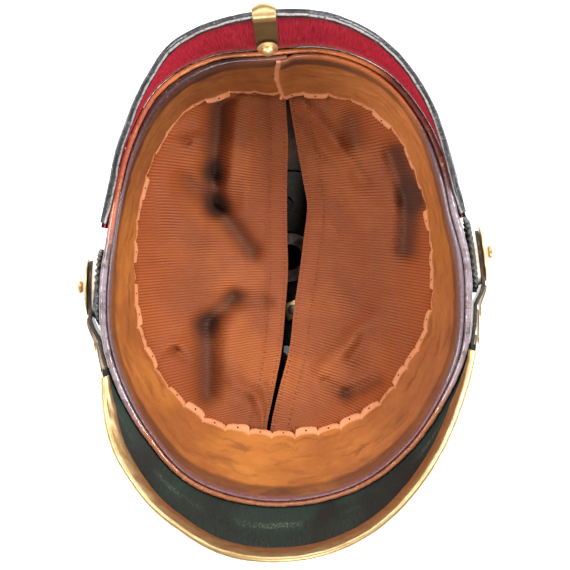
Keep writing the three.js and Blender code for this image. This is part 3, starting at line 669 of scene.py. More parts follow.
class Wire:
    """A shader socket that takes Python's arithmetic."""

    def __init__(self, recipe: "Recipe", socket: bpy.types.NodeSocket) -> None:
        """Keeps the socket and the recipe it belongs to."""
        self.recipe = recipe
        self.socket = socket

    def math(self, operation: str, *values: Value) -> "Wire":
        """Adds a Math node."""
        sockets = dict(enumerate(values))
        return self.recipe.wire("ShaderNodeMath", {"operation": operation}, sockets)

    def __add__(self, other: Value) -> "Wire":
        """Adds."""
        return self.math("ADD", self, other)

    def __radd__(self, other: Value) -> "Wire":
        """Adds, from the right."""
        return self.math("ADD", other, self)

    def __sub__(self, other: Value) -> "Wire":
        """Takes away."""
        return self.math("SUBTRACT", self, other)

    def __rsub__(self, other: Value) -> "Wire":
        """Takes away, from the right."""
        return self.math("SUBTRACT", other, self)

    def __mul__(self, other: Value) -> "Wire":
        """Multiplies."""
        return self.math("MULTIPLY", self, other)

    def __rmul__(self, other: Value) -> "Wire":
        """Multiplies, from the right."""
        return self.math("MULTIPLY", other, self)

    def __truediv__(self, other: Value) -> "Wire":
        """Divides."""
        return self.math("DIVIDE", self, other)

    def __pow__(self, other: Value) -> "Wire":
        """Raises to a power."""
        return self.math("POWER", self, other)

    def part(self) -> "Wire":
        """Gives what follows the decimal point."""
        return self.math("FRACT", self)

    def size(self) -> "Wire":
        """Gives the value without its sign."""
        return self.math("ABSOLUTE", self)

    def between(self, low: float, high: float) -> "Wire":
        """Gives 0 at low, 1 at high, and a gentle slope between, whichever is larger."""
        return self.recipe.wire("ShaderNodeMapRange", {"interpolation_type": "SMOOTHSTEP"},
                                {"Value": self, "From Min": low, "From Max": high}, "Result")


class Recipe:
    """The nodes of one finish."""

    def __init__(self, name: str) -> None:
        """Starts a material with its shader.

        Args:
            name: The finish's name.
        """
        self.material = bpy.data.materials.new(f"{name}_finish")
        self.material.use_nodes = True
        self.tree = self.material.node_tree
        self.shader = self.tree.nodes["Principled BSDF"]
        where = self.node("ShaderNodeTexCoord")
        self.place = Wire(self, where.outputs["Object"])
        self.share = Wire(self, where.outputs["UV"])

    def feed(self, socket: bpy.types.NodeSocket, value: Value) -> None:
        """Links a socket or sets its value.

        Args:
            socket: The input.
            value: A value, a colour or a link.
        """
        if isinstance(value, Wire):
            self.tree.links.new(value.socket, socket)
        elif isinstance(value, tuple) and socket.type == "RGBA" and len(value) == 3:
            socket.default_value = (*value, 1.0)
        else:
            socket.default_value = value

    def node(self, kind: str, settings: Optional[dict[str, Any]] = None,
             sockets: Optional[dict[Any, Value]] = None) -> bpy.types.Node:
        """Adds a node.

        Args:
            kind: The node's type.
            settings: Its properties, which are set first.
            sockets: Values and links for its inputs, by name or number.

        Returns:
            The node.
        """
        made = self.tree.nodes.new(kind)
        for name, value in (settings or {}).items():
            setattr(made, name, value)
        for name, value in (sockets or {}).items():
            self.feed(made.inputs[name], value)
        return made

    def wire(self, kind: str, settings: Optional[dict[str, Any]] = None,
             sockets: Optional[dict[Any, Value]] = None, output: Union[str, int] = 0) -> Wire:
        """Adds a node and gives one of its outputs."""
        return Wire(self, self.node(kind, settings, sockets).outputs[output])

    def stretched(self, source: Wire, scale: Triple) -> Wire:
        """Scales coordinates by an amount in each direction."""
        return self.wire("ShaderNodeVectorMath", {"operation": "MULTIPLY"}, {0: source, 1: scale})

    def axis(self, source: Wire, number: int) -> Wire:
        """Gives one coordinate."""
        return self.wire("ShaderNodeSeparateXYZ", None, {0: source}, number)

    def noise(self, source: Wire, scale: float, detail: float = 3.0, rough: float = 0.5,
              twist: float = 0.0) -> Wire:
        """Gives smooth noise from about 0.3 to 0.7."""
        return self.wire("ShaderNodeTexNoise", None, {
            "Vector": source, "Scale": scale, "Detail": detail, "Roughness": rough, "Distortion": twist})

    def cells(self, source: Wire, scale: float, feature: str = "DISTANCE_TO_EDGE") -> Wire:
        """Gives the distance in a pattern of uneven cells."""
        return self.wire("ShaderNodeTexVoronoi", {"feature": feature}, {
            "Vector": source, "Scale": scale}, "Distance")

    def blend(self, low: Value, high: Value, share: Value) -> Wire:
        """Mixes two colours."""
        return self.wire("ShaderNodeMix", {"data_type": "RGBA"}, {
            MIX_SHARE: share, MIX_LOW: low, MIX_HIGH: high}, MIX_RESULT)

    def bump(self, height: Wire, distance: float, strength: float = 1.0,
             over: Optional[Wire] = None) -> Wire:
        """Turns heights into relief, on top of other relief.

        Args:
            height: The heights.
            distance: Metres to a height of 1.
            strength: Share of the relief that shows.
            over: Other relief under it.

        Returns:
            The normals.
        """
        sockets: dict[Any, Value] = {"Height": height, "Distance": distance, "Strength": strength}
        if over is not None:
            sockets["Normal"] = over
        return self.wire("ShaderNodeBump", None, sockets)

    def finish(self, **inputs: Value) -> Material:
        """Feeds the shader, by input names with _ for spaces, and gives the material."""
        for name, value in inputs.items():
            self.feed(self.shader.inputs[name.replace("_", " ")], value)
        return self.material


@dataclass(frozen=True)
class PaintedLeather:
    """A painted leather underside with fine streaks from the rim to the edge."""

    name: str
    body: Colour
    deep: Colour
    bright: Colour
    rim: Colour
    rim_share: float
    shadow: Colour = tone(24, 10, 10)
    rough: float = 0.62
    grain: Triple = (420.0, 5.0, 1.0)
    relief: float = 0.0004

    def make(self) -> Material:
        """Builds the material.

        Returns:
            The material.
        """
        r = Recipe(self.name)
        streak = r.noise(r.stretched(r.share, self.grain), 1.0, 4, 0.65)
        broad = r.noise(r.place, 34, 3, 0.55)
        speck = r.noise(r.place, 900, 2, 0.6)
        colour = r.blend(self.deep, self.body, streak.between(0.3, 0.62))
        colour = r.blend(colour, self.bright, broad.between(0.46, 0.68) * streak.between(0.4, 0.7) * 0.8)
        outwards = r.axis(r.share, 1)
        near = (1 - outwards.between(0.25, 0.42)) * (broad * 0.7 + streak * 0.6)
        colour = r.blend(colour, self.rim, near * self.rim_share)
        colour = r.blend(colour, self.deep, outwards.between(0.8, 1.0) * 0.7)
        colour = r.blend(colour, self.bright, speck.between(0.66, 0.74) * 0.35)
        colour = r.blend(colour, self.shadow, 1 - outwards.between(0.225, 0.27))
        relief = r.bump(streak * 0.7 + speck * 0.3, self.relief, 0.7)
        return r.finish(Base_Color=colour, Roughness=streak * 0.25 + (self.rough - 0.12), Normal=relief)


@dataclass(frozen=True)
class PeakPaint:
    """The green-black underside of the peak, with a pale scuffed line along it."""

    name: str = "peak_underside"
    black: Colour = tone(18, 18, 15)
    green: Colour = tone(28, 44, 36)
    scuff: Colour = tone(124, 132, 106)
    line_place: float = 0.52
    grain: Triple = (230.0, 5.0, 1.0)
    scratches: Triple = (330.0, 26.0, 1.0)
    relief: float = 0.0006

    def make(self) -> Material:
        """Builds the material.

        Returns:
            The material.
        """
        r = Recipe(self.name)
        across = r.axis(r.share, 1)
        streak = r.noise(r.stretched(r.share, self.grain), 1.0, 5, 0.75)
        broad = r.noise(r.place, 28, 3, 0.5)
        wander = r.noise(r.place, 22, 2, 0.5)
        near_rim = 1 - across.between(0.4, 0.72)
        greened = (streak.between(0.3, 0.6) + near_rim) * broad.between(0.3, 0.56) * 0.7
        colour = r.blend(self.black, self.green, greened)
        scatter = r.noise(r.stretched(r.share, self.scratches), 1.0, 4, 0.75)
        line = 1 - ((across + wander * 0.12 - 0.06 - self.line_place).size() * 16).between(0.2, 1.0)
        scuffed = line * scatter.between(0.45, 0.66) * broad.between(0.38, 0.6)
        colour = r.blend(colour, self.scuff, scuffed * 0.75)
        colour = r.blend(colour, self.scuff, scatter.between(0.6, 0.72) * 0.4)
        relief = r.bump(streak + scatter * 0.6 + scuffed * 0.4, self.relief, 0.9)
        return r.finish(Base_Color=colour, Roughness=0.5 + streak * 0.3, Normal=relief)


@dataclass(frozen=True)
class Lacquer:
    """Black lacquered leather: glossy, crackled and worn in places, and matt along the rim."""

    name: str = "black_lacquer"
    black: Colour = tone(22, 20, 20)
    worn: Colour = tone(74, 62, 54)
    rough: float = 0.28
    wear: float = 0.5
    coat: float = 0.5
    matt_from: float = 0.009
    matt_to: float = 0.006

    def make(self) -> Material:
        """Builds the material.

        Returns:
            The material.
        """
        r = Recipe(self.name)
        crackle = r.cells(r.place, 620)
        patch = r.noise(r.place, 60, 5, 0.65)
        fine = r.noise(r.place, 1500, 2, 0.5)
        height = r.axis(r.place, 2)
        hidden = height.between(FORM.rim_height - self.matt_from, FORM.rim_height - self.matt_to)
        worn = patch.between(0.56, 0.74) * self.wear * (1 - hidden)
        colour = r.blend(self.black, self.worn, worn)
        relief = r.bump(crackle.between(0.0, 0.12) * 0.4 + fine * 0.2 + patch * 0.6, 0.0003, 0.55)
        return r.finish(Base_Color=colour, Normal=relief,
                        Roughness=patch * 0.3 + self.rough - 0.08 + worn * 0.25 + hidden * 0.5,
                        Coat_Weight=(0.5 * self.coat + patch * self.coat) * (1 - hidden))


@dataclass(frozen=True)
class EdgeLeather:
    """Grained leather round an edge: dark and glossy, with pale cracked specks."""

    name: str
    dark: Colour
    sheen: Colour
    speck: Colour
    rough: float = 0.34
    specks: float = 0.5
    worn_line: float = 0.0
    line_place: float = 0.5

    def make(self) -> Material:
        """Builds the material.

        Returns:
            The material.
        """
        r = Recipe(self.name)
        cloud = r.noise(r.place, 85, 4, 0.6)
        fine = r.noise(r.place, 620, 4, 0.65)
        pebble = r.cells(r.place, 1100, "F1")
        colour = r.blend(self.dark, self.sheen, cloud.between(0.42, 0.68))
        flaked = fine.between(0.58, 0.68) * cloud.between(0.36, 0.56)
        colour = r.blend(colour, self.speck, flaked * self.specks)
        # Painted highlight: a pale line in the speck colour along the edge stands in for the gloss on the
        # binding.
        if self.worn_line:
            across = (r.axis(r.share, 1) - self.line_place + (cloud - 0.5) * 0.06).size()
            line = (1 - across.between(0.012, 0.05)) * fine.between(0.3, 0.5)
            colour = r.blend(colour, self.speck, line * self.worn_line)
        relief = r.bump(pebble * 0.6 + fine * 0.6, 0.0004, 0.8)
        relief = r.bump(cloud, 0.0012, 0.5, relief)
        return r.finish(Base_Color=colour, Roughness=fine * 0.4 + self.rough - 0.16, Normal=relief,
                        Coat_Weight=0.25 + cloud * 0.3)


@dataclass(frozen=True)
class WeltLeather:
    """Glossy leather of the rim's outer roll: tan behind, silvery at the sides, brown in front."""

    name: str = "welt_leather"
    tan: Colour = tone(204, 122, 66)
    coral: Colour = tone(178, 94, 66)
    maroon: Colour = tone(98, 46, 36)
    silver: Colour = tone(138, 122, 128)
    dark: Colour = tone(66, 52, 56)
    front: Colour = tone(142, 82, 50)
    speck: Colour = tone(206, 160, 98)

    def make(self) -> Material:
        """Builds the material.

        Returns:
            The material.
        """
        r = Recipe(self.name)
        x = r.axis(r.place, 0) * 10
        y = r.axis(r.place, 1) * 10
        cloud = r.noise(r.place, 90, 4, 0.6)
        fine = r.noise(r.place, 640, 4, 0.65)
        pebble = r.cells(r.place, 1000, "F1")
        left = (0 - x).between(-0.2, 0.2)
        colour = r.blend(self.silver, self.dark, cloud.between(0.44, 0.66) * 0.8)
        colour = r.blend(colour, self.front, (0 - y).between(0.5, 0.8))
        colour = r.blend(colour, self.coral, y.between(0.12, 0.34) * left)
        colour = r.blend(colour, self.maroon, y.between(0.2, 0.5) * (1 - left))
        colour = r.blend(colour, self.tan, y.between(0.86, 1.0))
        flaked = fine.between(0.58, 0.66) * cloud.between(0.5, 0.62)
        colour = r.blend(colour, self.speck, flaked * 0.7)
        colour = r.blend(colour, self.dark, (1 - fine.between(0.32, 0.44)) * 0.5)
        relief = r.bump(pebble * 0.5 + fine * 0.6, 0.0004, 0.7)
        relief = r.bump(cloud, 0.001, 0.4, relief)
        return r.finish(Base_Color=colour, Roughness=fine * 0.35 + 0.14, Normal=relief,
                        Coat_Weight=0.45 + cloud * 0.3)


@dataclass(frozen=True)
class BandLeather:
    """The sweatband's tan leather: wrinkled at the back, with painted shade at the back left, painted light
    at the back right, and darker along its groove.
    """

    name: str = "band_leather"
    golden: Colour = tone(182, 112, 48)
    tan: Colour = tone(156, 90, 40)
    # The light tan serves the scratches and the painted light of the back right; the brown serves the grain
    # and the painted shade of the back left.
    light: Colour = tone(206, 130, 72)
    brown: Colour = tone(98, 52, 24)
    pink: Colour = tone(156, 90, 62)
    roll_tan: Colour = tone(200, 118, 66)
    roll_side: Colour = tone(112, 92, 98)
    roll_front: Colour = tone(120, 84, 86)
    stain: Colour = tone(52, 28, 24)
    hem: Colour = tone(226, 154, 108)
    hole: Colour = tone(60, 28, 14)
    lobes_along: float = 46.37
    lobes_before: float = 0.655
    scallop_mm: float = 11.7
    width_mm: float = 43
    hole_share: float = 0.955
    hole_mm: float = 0.55

    def make(self) -> Material:
        """Builds the material.

        Returns:
            The material.
        """
        r = Recipe(self.name)
        around = r.axis(r.share, 0)
        down = r.axis(r.share, 1)
        x = r.axis(r.place, 0) * 10
        y = r.axis(r.place, 1) * 10
        cloud = r.noise(r.place, 26, 4, 0.6)
        streak = r.noise(r.stretched(r.share, (26, 9, 1)), 1.0, 5, 0.62, 0.6)
        scratch = r.noise(r.stretched(r.share, (60, 120, 1)), 1.0, 4, 0.7, 0.3)
        fine = r.noise(r.place, 700, 3, 0.6)
        # Painted light and shade: the back left is darkened and the back right lightened, as the light falls
        # on the band.
        shaded_back_left = (y - x * 0.55).between(0.35, 1.35)
        lit_back_right = (y * 0.7 + x).between(0.75, 1.25)
        right_front = (x - y * 0.6).between(0.6, 1.2)
        colour = r.blend(self.golden, self.tan, cloud.between(0.38, 0.66))
        colour = r.blend(colour, self.pink, right_front * 0.6)
        colour = r.blend(colour, self.light, lit_back_right * 0.7)
        colour = r.blend(colour, self.brown, shaded_back_left * 0.7)
        colour = r.blend(colour, self.brown, streak.between(0.5, 0.7) * 0.5)
        colour = r.blend(colour, self.light, scratch.between(0.6, 0.76) * 0.35)
        colour = r.blend(colour, self.brown, fine.between(0.6, 0.72) * 0.3)
        # Darker along the groove under the roll, and more so where the back left's painted shade lies.
        groove_darkening = (1 - ((down - 0.2).size() * 9).between(0.1, 1.0)) * (0.4 + cloud * 0.9)
        colour = r.blend(colour, self.stain, groove_darkening.between(0.25, 0.95) * (0.6 + shaded_back_left * 0.35))
        rolled = 1 - down.between(0.135, 0.17)
        behind = y.between(0.55, 0.8)
        left = (0 - x).between(-0.35, 0.3)
        edge = r.blend(self.roll_side, self.roll_front, (0 - y).between(0.45, 0.8))
        edge = r.blend(edge, self.roll_tan, behind * (1 - left))
        edge = r.blend(edge, self.stain, behind * left * 0.8)
        edge = r.blend(edge, self.stain, fine.between(0.54, 0.68) * 0.45)
        edge = r.blend(edge, self.hem, (1 - fine.between(0.3, 0.4)) * 0.35)
        colour = r.blend(colour, edge, rolled)
        lobes = (down + (cloud - 0.5) * 0.03).between(0.895, 0.935)
        colour = r.blend(colour, self.hem, lobes * (0.72 + streak * 0.3))
        colour = r.blend(colour, self.hem, around.between(0.9962, 0.998) * (0.4 + cloud * 0.6))
        sideways = ((around * self.lobes_along + self.lobes_before).part() - 0.5) * self.scallop_mm
        inwards = (down - self.hole_share) * self.width_mm
        away = (sideways * sideways + inwards * inwards) ** 0.5
        pierced = 1 - (away / self.hole_mm).between(0.7, 1.1)
        colour = r.blend(colour, self.hole, pierced)
        relief = r.bump(streak * 0.5 + cloud * 0.3, 0.0016, 0.55)
        relief = r.bump(fine + scratch * 0.6 - pierced, 0.0003, 0.6, relief)
        return r.finish(Base_Color=colour, Roughness=0.5 + fine * 0.2 - rolled * 0.24, Normal=relief,
                        Coat_Weight=rolled * 0.6)


@dataclass(frozen=True)
class Brass:
    """Polished brass with brown tarnish in patches and fine handling marks."""

    name: str
    bright: Colour = tone(216, 186, 136)
    ochre: Colour = tone(180, 144, 92)
    tarnish: Colour = tone(84, 66, 40)
    rough: float = 0.26
    dirt: float = 0.5
    aged_from: float = 2.0
    olive: Colour = tone(88, 66, 26)

    def make(self) -> Material:
        """Builds the material.

        Returns:
            The material.
        """
        r = Recipe(self.name)
        patch = r.noise(r.place, 70, 5, 0.62)
        fine = r.noise(r.place, 900, 3, 0.6)
        scratch = r.noise(r.stretched(r.place, (90, 90, 900)), 1.0, 3, 0.7)
        aged = patch.between(0.42, 0.66)
        colour = r.blend(self.bright, self.ochre, aged * 0.7)
        dirty = patch.between(0.52, 0.7) * fine.between(0.4, 0.6) * self.dirt
        colour = r.blend(colour, self.tarnish, dirty)
        aged_end = r.axis(r.share, 1).between(self.aged_from, self.aged_from + 0.015)
        colour = r.blend(colour, self.olive, aged_end * 0.85)
        dirty = dirty + aged_end * (1 - dirty) * 0.8
        relief = r.bump(fine * 0.5 + scratch * 0.5, 0.00015, 0.5)
        return r.finish(Base_Color=colour, Metallic=1.0 - dirty * 0.6, Normal=relief,
                        Roughness=scratch * 0.18 + patch * 0.22 + dirty * 0.3 + self.rough - 0.2)


@dataclass(frozen=True)
class RibbedSilk:
    """Ribbed silk: orange brown, with threads that run along each rib."""

    name: str
    body: Colour = tone(142, 69, 21)
    bright: Colour = tone(166, 88, 32)
    deep: Colour = tone(80, 33, 8)
    edge: Colour = tone(164, 76, 8)
    shade: Colour = tone(40, 16, 6)
    rib_pitch: float = 0.00125
    valley_shade: float = 0.85
    sheen: float = 0.06
    sheen_rough: float = 0.4

    def make(self) -> Material:
        """Builds the material.

        Returns:
            The material.
        """
        r = Recipe(self.name)
        along = r.axis(r.share, 0)
        across = r.axis(r.share, 1)
        cloud = r.noise(r.place, 24, 4, 0.55)
        thread = r.noise(r.stretched(r.share, (900, 90, 1)), 1.0, 3, 0.7)
        weave = r.noise(r.stretched(r.share, (260, 1200, 1)), 1.0, 2, 0.6)
        rib = ((along * self.ribs).part() - 0.5).size()
        colour = r.blend(self.body, self.bright, cloud.between(0.42, 0.66))
        colour = r.blend(colour, self.edge, across.between(0.5, 0.9) * 0.7)
        # Painted shade: dark stripes at the rib pitch stand in for the shading of the ribs.
        colour = r.blend(colour, self.deep, rib.between(0.14, 0.46) * 0.6)
        colour = r.blend(colour, self.deep, thread.between(0.5, 0.72) * 0.35)
        colour = r.blend(colour, self.bright, weave.between(0.56, 0.76) * 0.35)
        valley = r.wire("ShaderNodeAttribute", {"attribute_name": "valley"}, None, "Fac")
        colour = r.blend(colour, self.shade, valley * self.valley_shade)
        relief = r.bump(thread * 0.6 + weave * 0.6, 0.00025, 0.7)
        return r.finish(Base_Color=colour, Roughness=0.5 + thread * 0.25, Normal=relief,
                        Sheen_Weight=self.sheen, Sheen_Roughness=self.sheen_rough)

    @property
    def ribs(self) -> int:
        """Counts the ribs along a half."""
        return round(SLIT_LENGTH / self.rib_pitch)


@dataclass(frozen=True)
class DullMetal:
    """Blackened or grey sheet metal with stained patches."""

    name: str
    base: Colour
    stain: Colour
    metallic: float = 0.5
    rough: float = 0.5

    def make(self) -> Material:
        """Builds the material.

        Returns:
            The material.
        """
        r = Recipe(self.name)
        patch = r.noise(r.place, 120, 5, 0.65)
        fine = r.noise(r.place, 1300, 3, 0.6)
        colour = r.blend(self.base, self.stain, patch.between(0.45, 0.65))
        relief = r.bump(fine * 0.5 + patch, 0.0003, 0.6)
        return r.finish(Base_Color=colour, Metallic=self.metallic, Normal=relief,
                        Roughness=patch * 0.35 + self.rough - 0.15)


@dataclass(frozen=True)
class CockadePaint:
    """Black paint with a silver ring, worn on the flutes."""

    name: str = "cockade_paint"
    black: Colour = tone(26, 26, 28)
    silver: Colour = tone(232, 222, 204)
    worn: Colour = tone(120, 112, 100)
    inner: float = 0.0118
    outer: float = 0.0158
    soft: float = 0.0003

    def make(self) -> Material:
        """Builds the material.

        Returns:
            The material.
        """
        r = Recipe(self.name)
        y = r.axis(r.place, 1)
        z = r.axis(r.place, 2) - (FORM.rim_height - FORM.side_depth)
        radius = (y * y + z * z) ** 0.5
        patch = r.noise(r.place, 260, 4, 0.65)
        past = radius.between(self.outer, self.outer + self.soft)
        ring = radius.between(self.inner - self.soft, self.inner) * (1 - past)
        silvered = ring * (1 - patch.between(0.6, 0.72))
        colour = r.blend(self.black, self.worn, patch.between(0.56, 0.7) * 0.55)
        colour = r.blend(colour, self.silver, silvered)
        relief = r.bump(patch, 0.0003, 0.5)
        return r.finish(Base_Color=colour, Metallic=silvered * 0.9, Normal=relief,
                        Roughness=0.3 + patch * 0.3, Coat_Weight=0.4 - silvered * 0.4)


@dataclass(frozen=True)
class Plain:
    """A plain matt finish with a slight unevenness."""

    name: str
    colour: Colour
    rough: float = 0.7

    def make(self) -> Material:
        """Builds the material.

        Returns:
            The material.
        """
        r = Recipe(self.name)
        cloud = r.noise(r.place, 900, 3, 0.6)
        dark = tuple(c * 0.7 for c in self.colour)
        colour = r.blend(dark, self.colour, cloud.between(0.3, 0.6))
        return r.finish(Base_Color=colour, Roughness=cloud * 0.2 + self.rough - 0.1)


LACQUER = Lacquer()
CRIMSON = PaintedLeather("guard_underside", body=tone(204, 26, 62), deep=tone(136, 10, 36),
                         bright=tone(226, 70, 92), rim=tone(190, 116, 112), rim_share=0.9)
PEAK_PAINT = PeakPaint()
# The binding's speck colour also paints its highlight line.
BINDING = EdgeLeather("binding_leather", dark=tone(30, 31, 33), sheen=tone(66, 66, 72),
                      speck=tone(190, 182, 180), specks=0.5, worn_line=0.85, line_place=0.41)
WELT = WeltLeather()
BAND = BandLeather()
SILK = RibbedSilk("ribbed_silk")
TRIM_BRASS = Brass("trim_brass", rough=0.42, dirt=0.25)
OLD_BRASS = Brass("old_brass", dirt=0.9, rough=0.3)
FITTING_BRASS = Brass("fitting_brass", dirt=0.7, rough=0.36)
STUD_BRASS = Brass("stud_brass", bright=tone(240, 214, 160), ochre=tone(214, 170, 104), rough=0.5, dirt=0.15)
# Black metal for the disc and washer; inside the neck the same black is painted shade.
BLACK_METAL_AND_NECK_SHADE = DullMetal("blackened", base=tone(30, 27, 24), stain=tone(62, 48, 40), metallic=0.4)
GREY_METAL = DullMetal("grey_metal", base=tone(176, 160, 150), stain=tone(120, 92, 84),
                       metallic=0.8, rough=0.4)
COCKADE = CockadePaint()
STRAP = EdgeLeather("strap_leather", dark=tone(48, 34, 28), sheen=tone(92, 66, 50),
                    speck=tone(150, 120, 90), rough=0.42)
INNER_LEATHER = EdgeLeather("inner_leather", dark=tone(44, 24, 18), sheen=tone(74, 40, 28),
                            speck=tone(110, 70, 48), rough=0.5, specks=0.3)
SILK_THREAD = Plain("silk_thread", tone(120, 58, 26))


MADE: dict[Any, Material] = {}


def dressed(piece: Piece, *finishes: Any) -> Piece:
    """Gives a piece its finishes, one material slot each.

    Args:
        piece: The piece.
        finishes: Its finishes, in the order of its slots.

    Returns:
        The piece.
    """
    for finish in finishes:
        if finish not in MADE:
            MADE[finish] = finish.make()
        piece.data.materials.append(MADE[finish])
    return piece


@dataclass
class Skull:
    """The hard leather skull: a lacquered dome with a dark brown inside."""

    columns: int = 160
    rows: int = 60
    start: float = 0.4
    crowding: float = 1.4
    relief: Relief = Relief(0.00012, 0.03, 5)
    relief_depth: float = 0.2

    def surface(self, u: Array, v: Array) -> Array:
        """Carries the grid round the dome, from the edge down to the vent.

        Args:
            u: Shares round the rim.
            v: Shares down the dome.

        Returns:
            The points.
        """
        bearing = TURN * u
        last = FORM.swing_at(bearing, FORM.vent_radius)
        swing = mix(self.start, last, v**self.crowding)
        radius, height = FORM.dome(bearing, swing)
        height = np.where(v < 1e-6, -FORM.edge_drop, np.minimum(height, -FORM.edge_drop))
        radius = radius + self.relief.at(bearing * DEGREE_RUN, v * self.relief_depth)
        return FORM.polar(bearing, radius, height)

    def build(self) -> None:
        """Models the skull."""
        piece = carried_grid("skull_shell", self.columns, self.rows, self.surface, closed=True)
        face(piece, MIDDLE, away=True)
        dressed(piece, LACQUER, INNER_LEATHER)
        thicken(piece, FORM.wall, back=1, rim=1)
        round_edges(piece, 0.0004)
        shade(piece)
        publish(piece, "skull_leather", "skull")


@dataclass
class Cover:
    """A channel round a flare's free edge."""

    leg: float
    wall: float
    clear: float = 0.00015
    leg_share: float = 0.5
    nose: float = 0.0009
    end_room: float = 1.5
    leg_rows: float = 0.38
    crown: float = 0.0002
    relief: Relief = Relief(0.0002, 0.012, 7)
    relief_depth: float = 0.03


@dataclass
class Flare:
    """A peak or neck guard: a flange outside the skull's edge, and a flare out from it."""

    table: tuple[Edge, ...]
    sag: float
    cover: Cover
    wall: float = 0.0018
    flange: float = 0.008
    taper: float = 16
    flange_least: float = 0.3
    standoff: float = 0.0005
    standoff_end: float = 0.0012
    hug: float = 0.00005
    least_share: float = 0.35
    least_reach: float = 0.0001
    flange_rows: float = 0.22
    run_from: float = 0.8
    relief: Relief = Relief(0.00025, 0.03, 11)
    relief_depth: float = 0.05
    columns: int = 150
    rows: int = 40

    def __post_init__(self) -> None:
        """Makes the curves through the table."""
        self.reach_at = column(self.table, "reach")
        self.drop_at = column(self.table, "drop")

    @property
    def ends(self) -> tuple[float, float]:
        """Gives the first and last bearings."""
        return self.table[0].bearing, self.table[-1].bearing

    def inner(self, bearing: Array, along: Array) -> tuple[Array, Array]:
        """Gives the face that looks into the hollow.

        Args:
            bearing: Direction in degrees.
            along: -1 at the flange's end, 0 at the rim, 1 at the free edge.

        Returns:
            The radius and the height.
        """
        first, last = self.ends
        reach, drop = self.reach_at(bearing), self.drop_at(bearing)
        length = np.hypot(reach, drop)
        beyond = self.cover.wall + self.cover.clear
        keep = np.maximum((length - beyond) / length, self.least_share)
        inside = ease(np.minimum(bearing - first, last - bearing) / self.taper)
        standoff = mix(self.standoff_end, self.standoff, inside)
        aside = (self.wall + beyond) * drop / length
        reach = np.maximum(reach * keep - standoff - aside, self.least_reach)
        flange = self.flange * mix(self.flange_least, 1, inside)
        start = FORM.rim(bearing) + standoff
        foot = FORM.radius_at(bearing, flange) + self.hug - start
        up = np.clip(along, 0, 1)
        down = np.clip(-along, 0, 1)
        radius = start + reach * up**self.sag + foot * down
        return radius, drop * keep * up - flange * down

    def surface(self, u: Array, v: Array) -> Array:
        """Carries the grid along the flange and out to the free edge.

        Args:
            u: Shares along the rim.
            v: Shares from the flange's end.

        Returns:
            The points.
        """
        first, last = self.ends
        bearing = mix(first, last, u)
        along = np.where(v < self.flange_rows, v / self.flange_rows - 1,
                         (v - self.flange_rows) / (1 - self.flange_rows))
        radius, height = self.inner(bearing, along)
        uneven = self.relief.at(bearing * DEGREE_RUN, v * self.relief_depth)
        radius = radius + uneven * np.clip(along, 0, 1)
        return FORM.polar(bearing, radius, height)

    def build(self, name: str, slot: str, node: str, paint: Any) -> None:
        """Models the painted leather.

        Args:
            name: The piece's name.
            slot: Its material slot in the record.
            node: The solid it stands for.
            paint: The finish of its underside.
        """
        piece = carried_grid(name, self.columns, self.rows, self.surface)
        face(piece, (0, 0, FORM.rim_height + 0.2), away=False)
        dressed(piece, paint, LACQUER)
        thicken(piece, self.wall, back=1, rim=1)
        round_edges(piece, 0.0005)
        shade(piece, 50)
        publish(piece, slot, node)

    def edge_frame(self, bearing: Array) -> tuple[Array, Array, Array, Array]:
        """Gives the free edge and the direction that the flare runs there.

        Args:
            bearing: Directions in degrees.

        Returns:
            The radius and height of the edge, and the run's radial and vertical parts.
        """
        end_radius, end_height = self.inner(bearing, np.ones_like(bearing))
        back_radius, back_height = self.inner(bearing, np.full_like(bearing, self.run_from))
        run = np.hypot(end_radius - back_radius, end_height - back_height)
        return end_radius, end_height, (end_radius - back_radius) / run, (end_height - back_height) / run

    def channel(self, u: Array, v: Array) -> Array:
        """Carries the grid up one leg of the cover, round the edge and down the other leg.

        Args:
            u: Shares along the edge.
            v: Shares round the cover.

        Returns:
            The points.
        """
        cover = self.cover
        first, last = self.ends
        bearing = mix(first + cover.end_room, last - cover.end_room, u)
        radius, height, run_r, run_h = self.edge_frame(bearing)
        rim_radius, rim_height = self.inner(bearing, np.zeros_like(bearing))
        length = np.hypot(radius - rim_radius, height - rim_height)
        leg = np.minimum(length * cover.leg_share, cover.leg)
        half = self.wall / 2 + cover.clear
        end = cover.leg_rows
        turn = np.clip((v - end) / (1 - 2 * end), 0, 1) * np.pi
        down = np.maximum(1 - np.minimum(v, 1 - v) / end, 0)
        crown = cover.crown * np.sin(np.pi * down) * np.where(v < 0.5, -1, 1)
        forward = -leg * down + cover.nose * np.sin(turn)
        aside = self.wall / 2 - half * np.cos(turn) + crown
        aside = aside + cover.relief.at(bearing * DEGREE_RUN, v * cover.relief_depth)
        return FORM.polar(bearing, radius + run_r * forward + run_h * aside,
                          height + run_h * forward - run_r * aside)

    def build_cover(self, name: str, slot: str, node: str, finish: Any) -> None:
        """Models the channel round the edge.

        Args:
            name: The piece's name.
            slot: Its material slot in the record.
            node: The solid it stands for.
            finish: Its finish.
        """
        piece = carried_grid(name, self.columns * 2, 36, self.channel)
        face(piece, MIDDLE, away=True)
        dressed(piece, finish)
        thicken(piece, self.cover.wall, grow=1.0)
        round_edges(piece, self.cover.wall * 0.35)
        shade(piece, 50)
        publish(piece, slot, node)


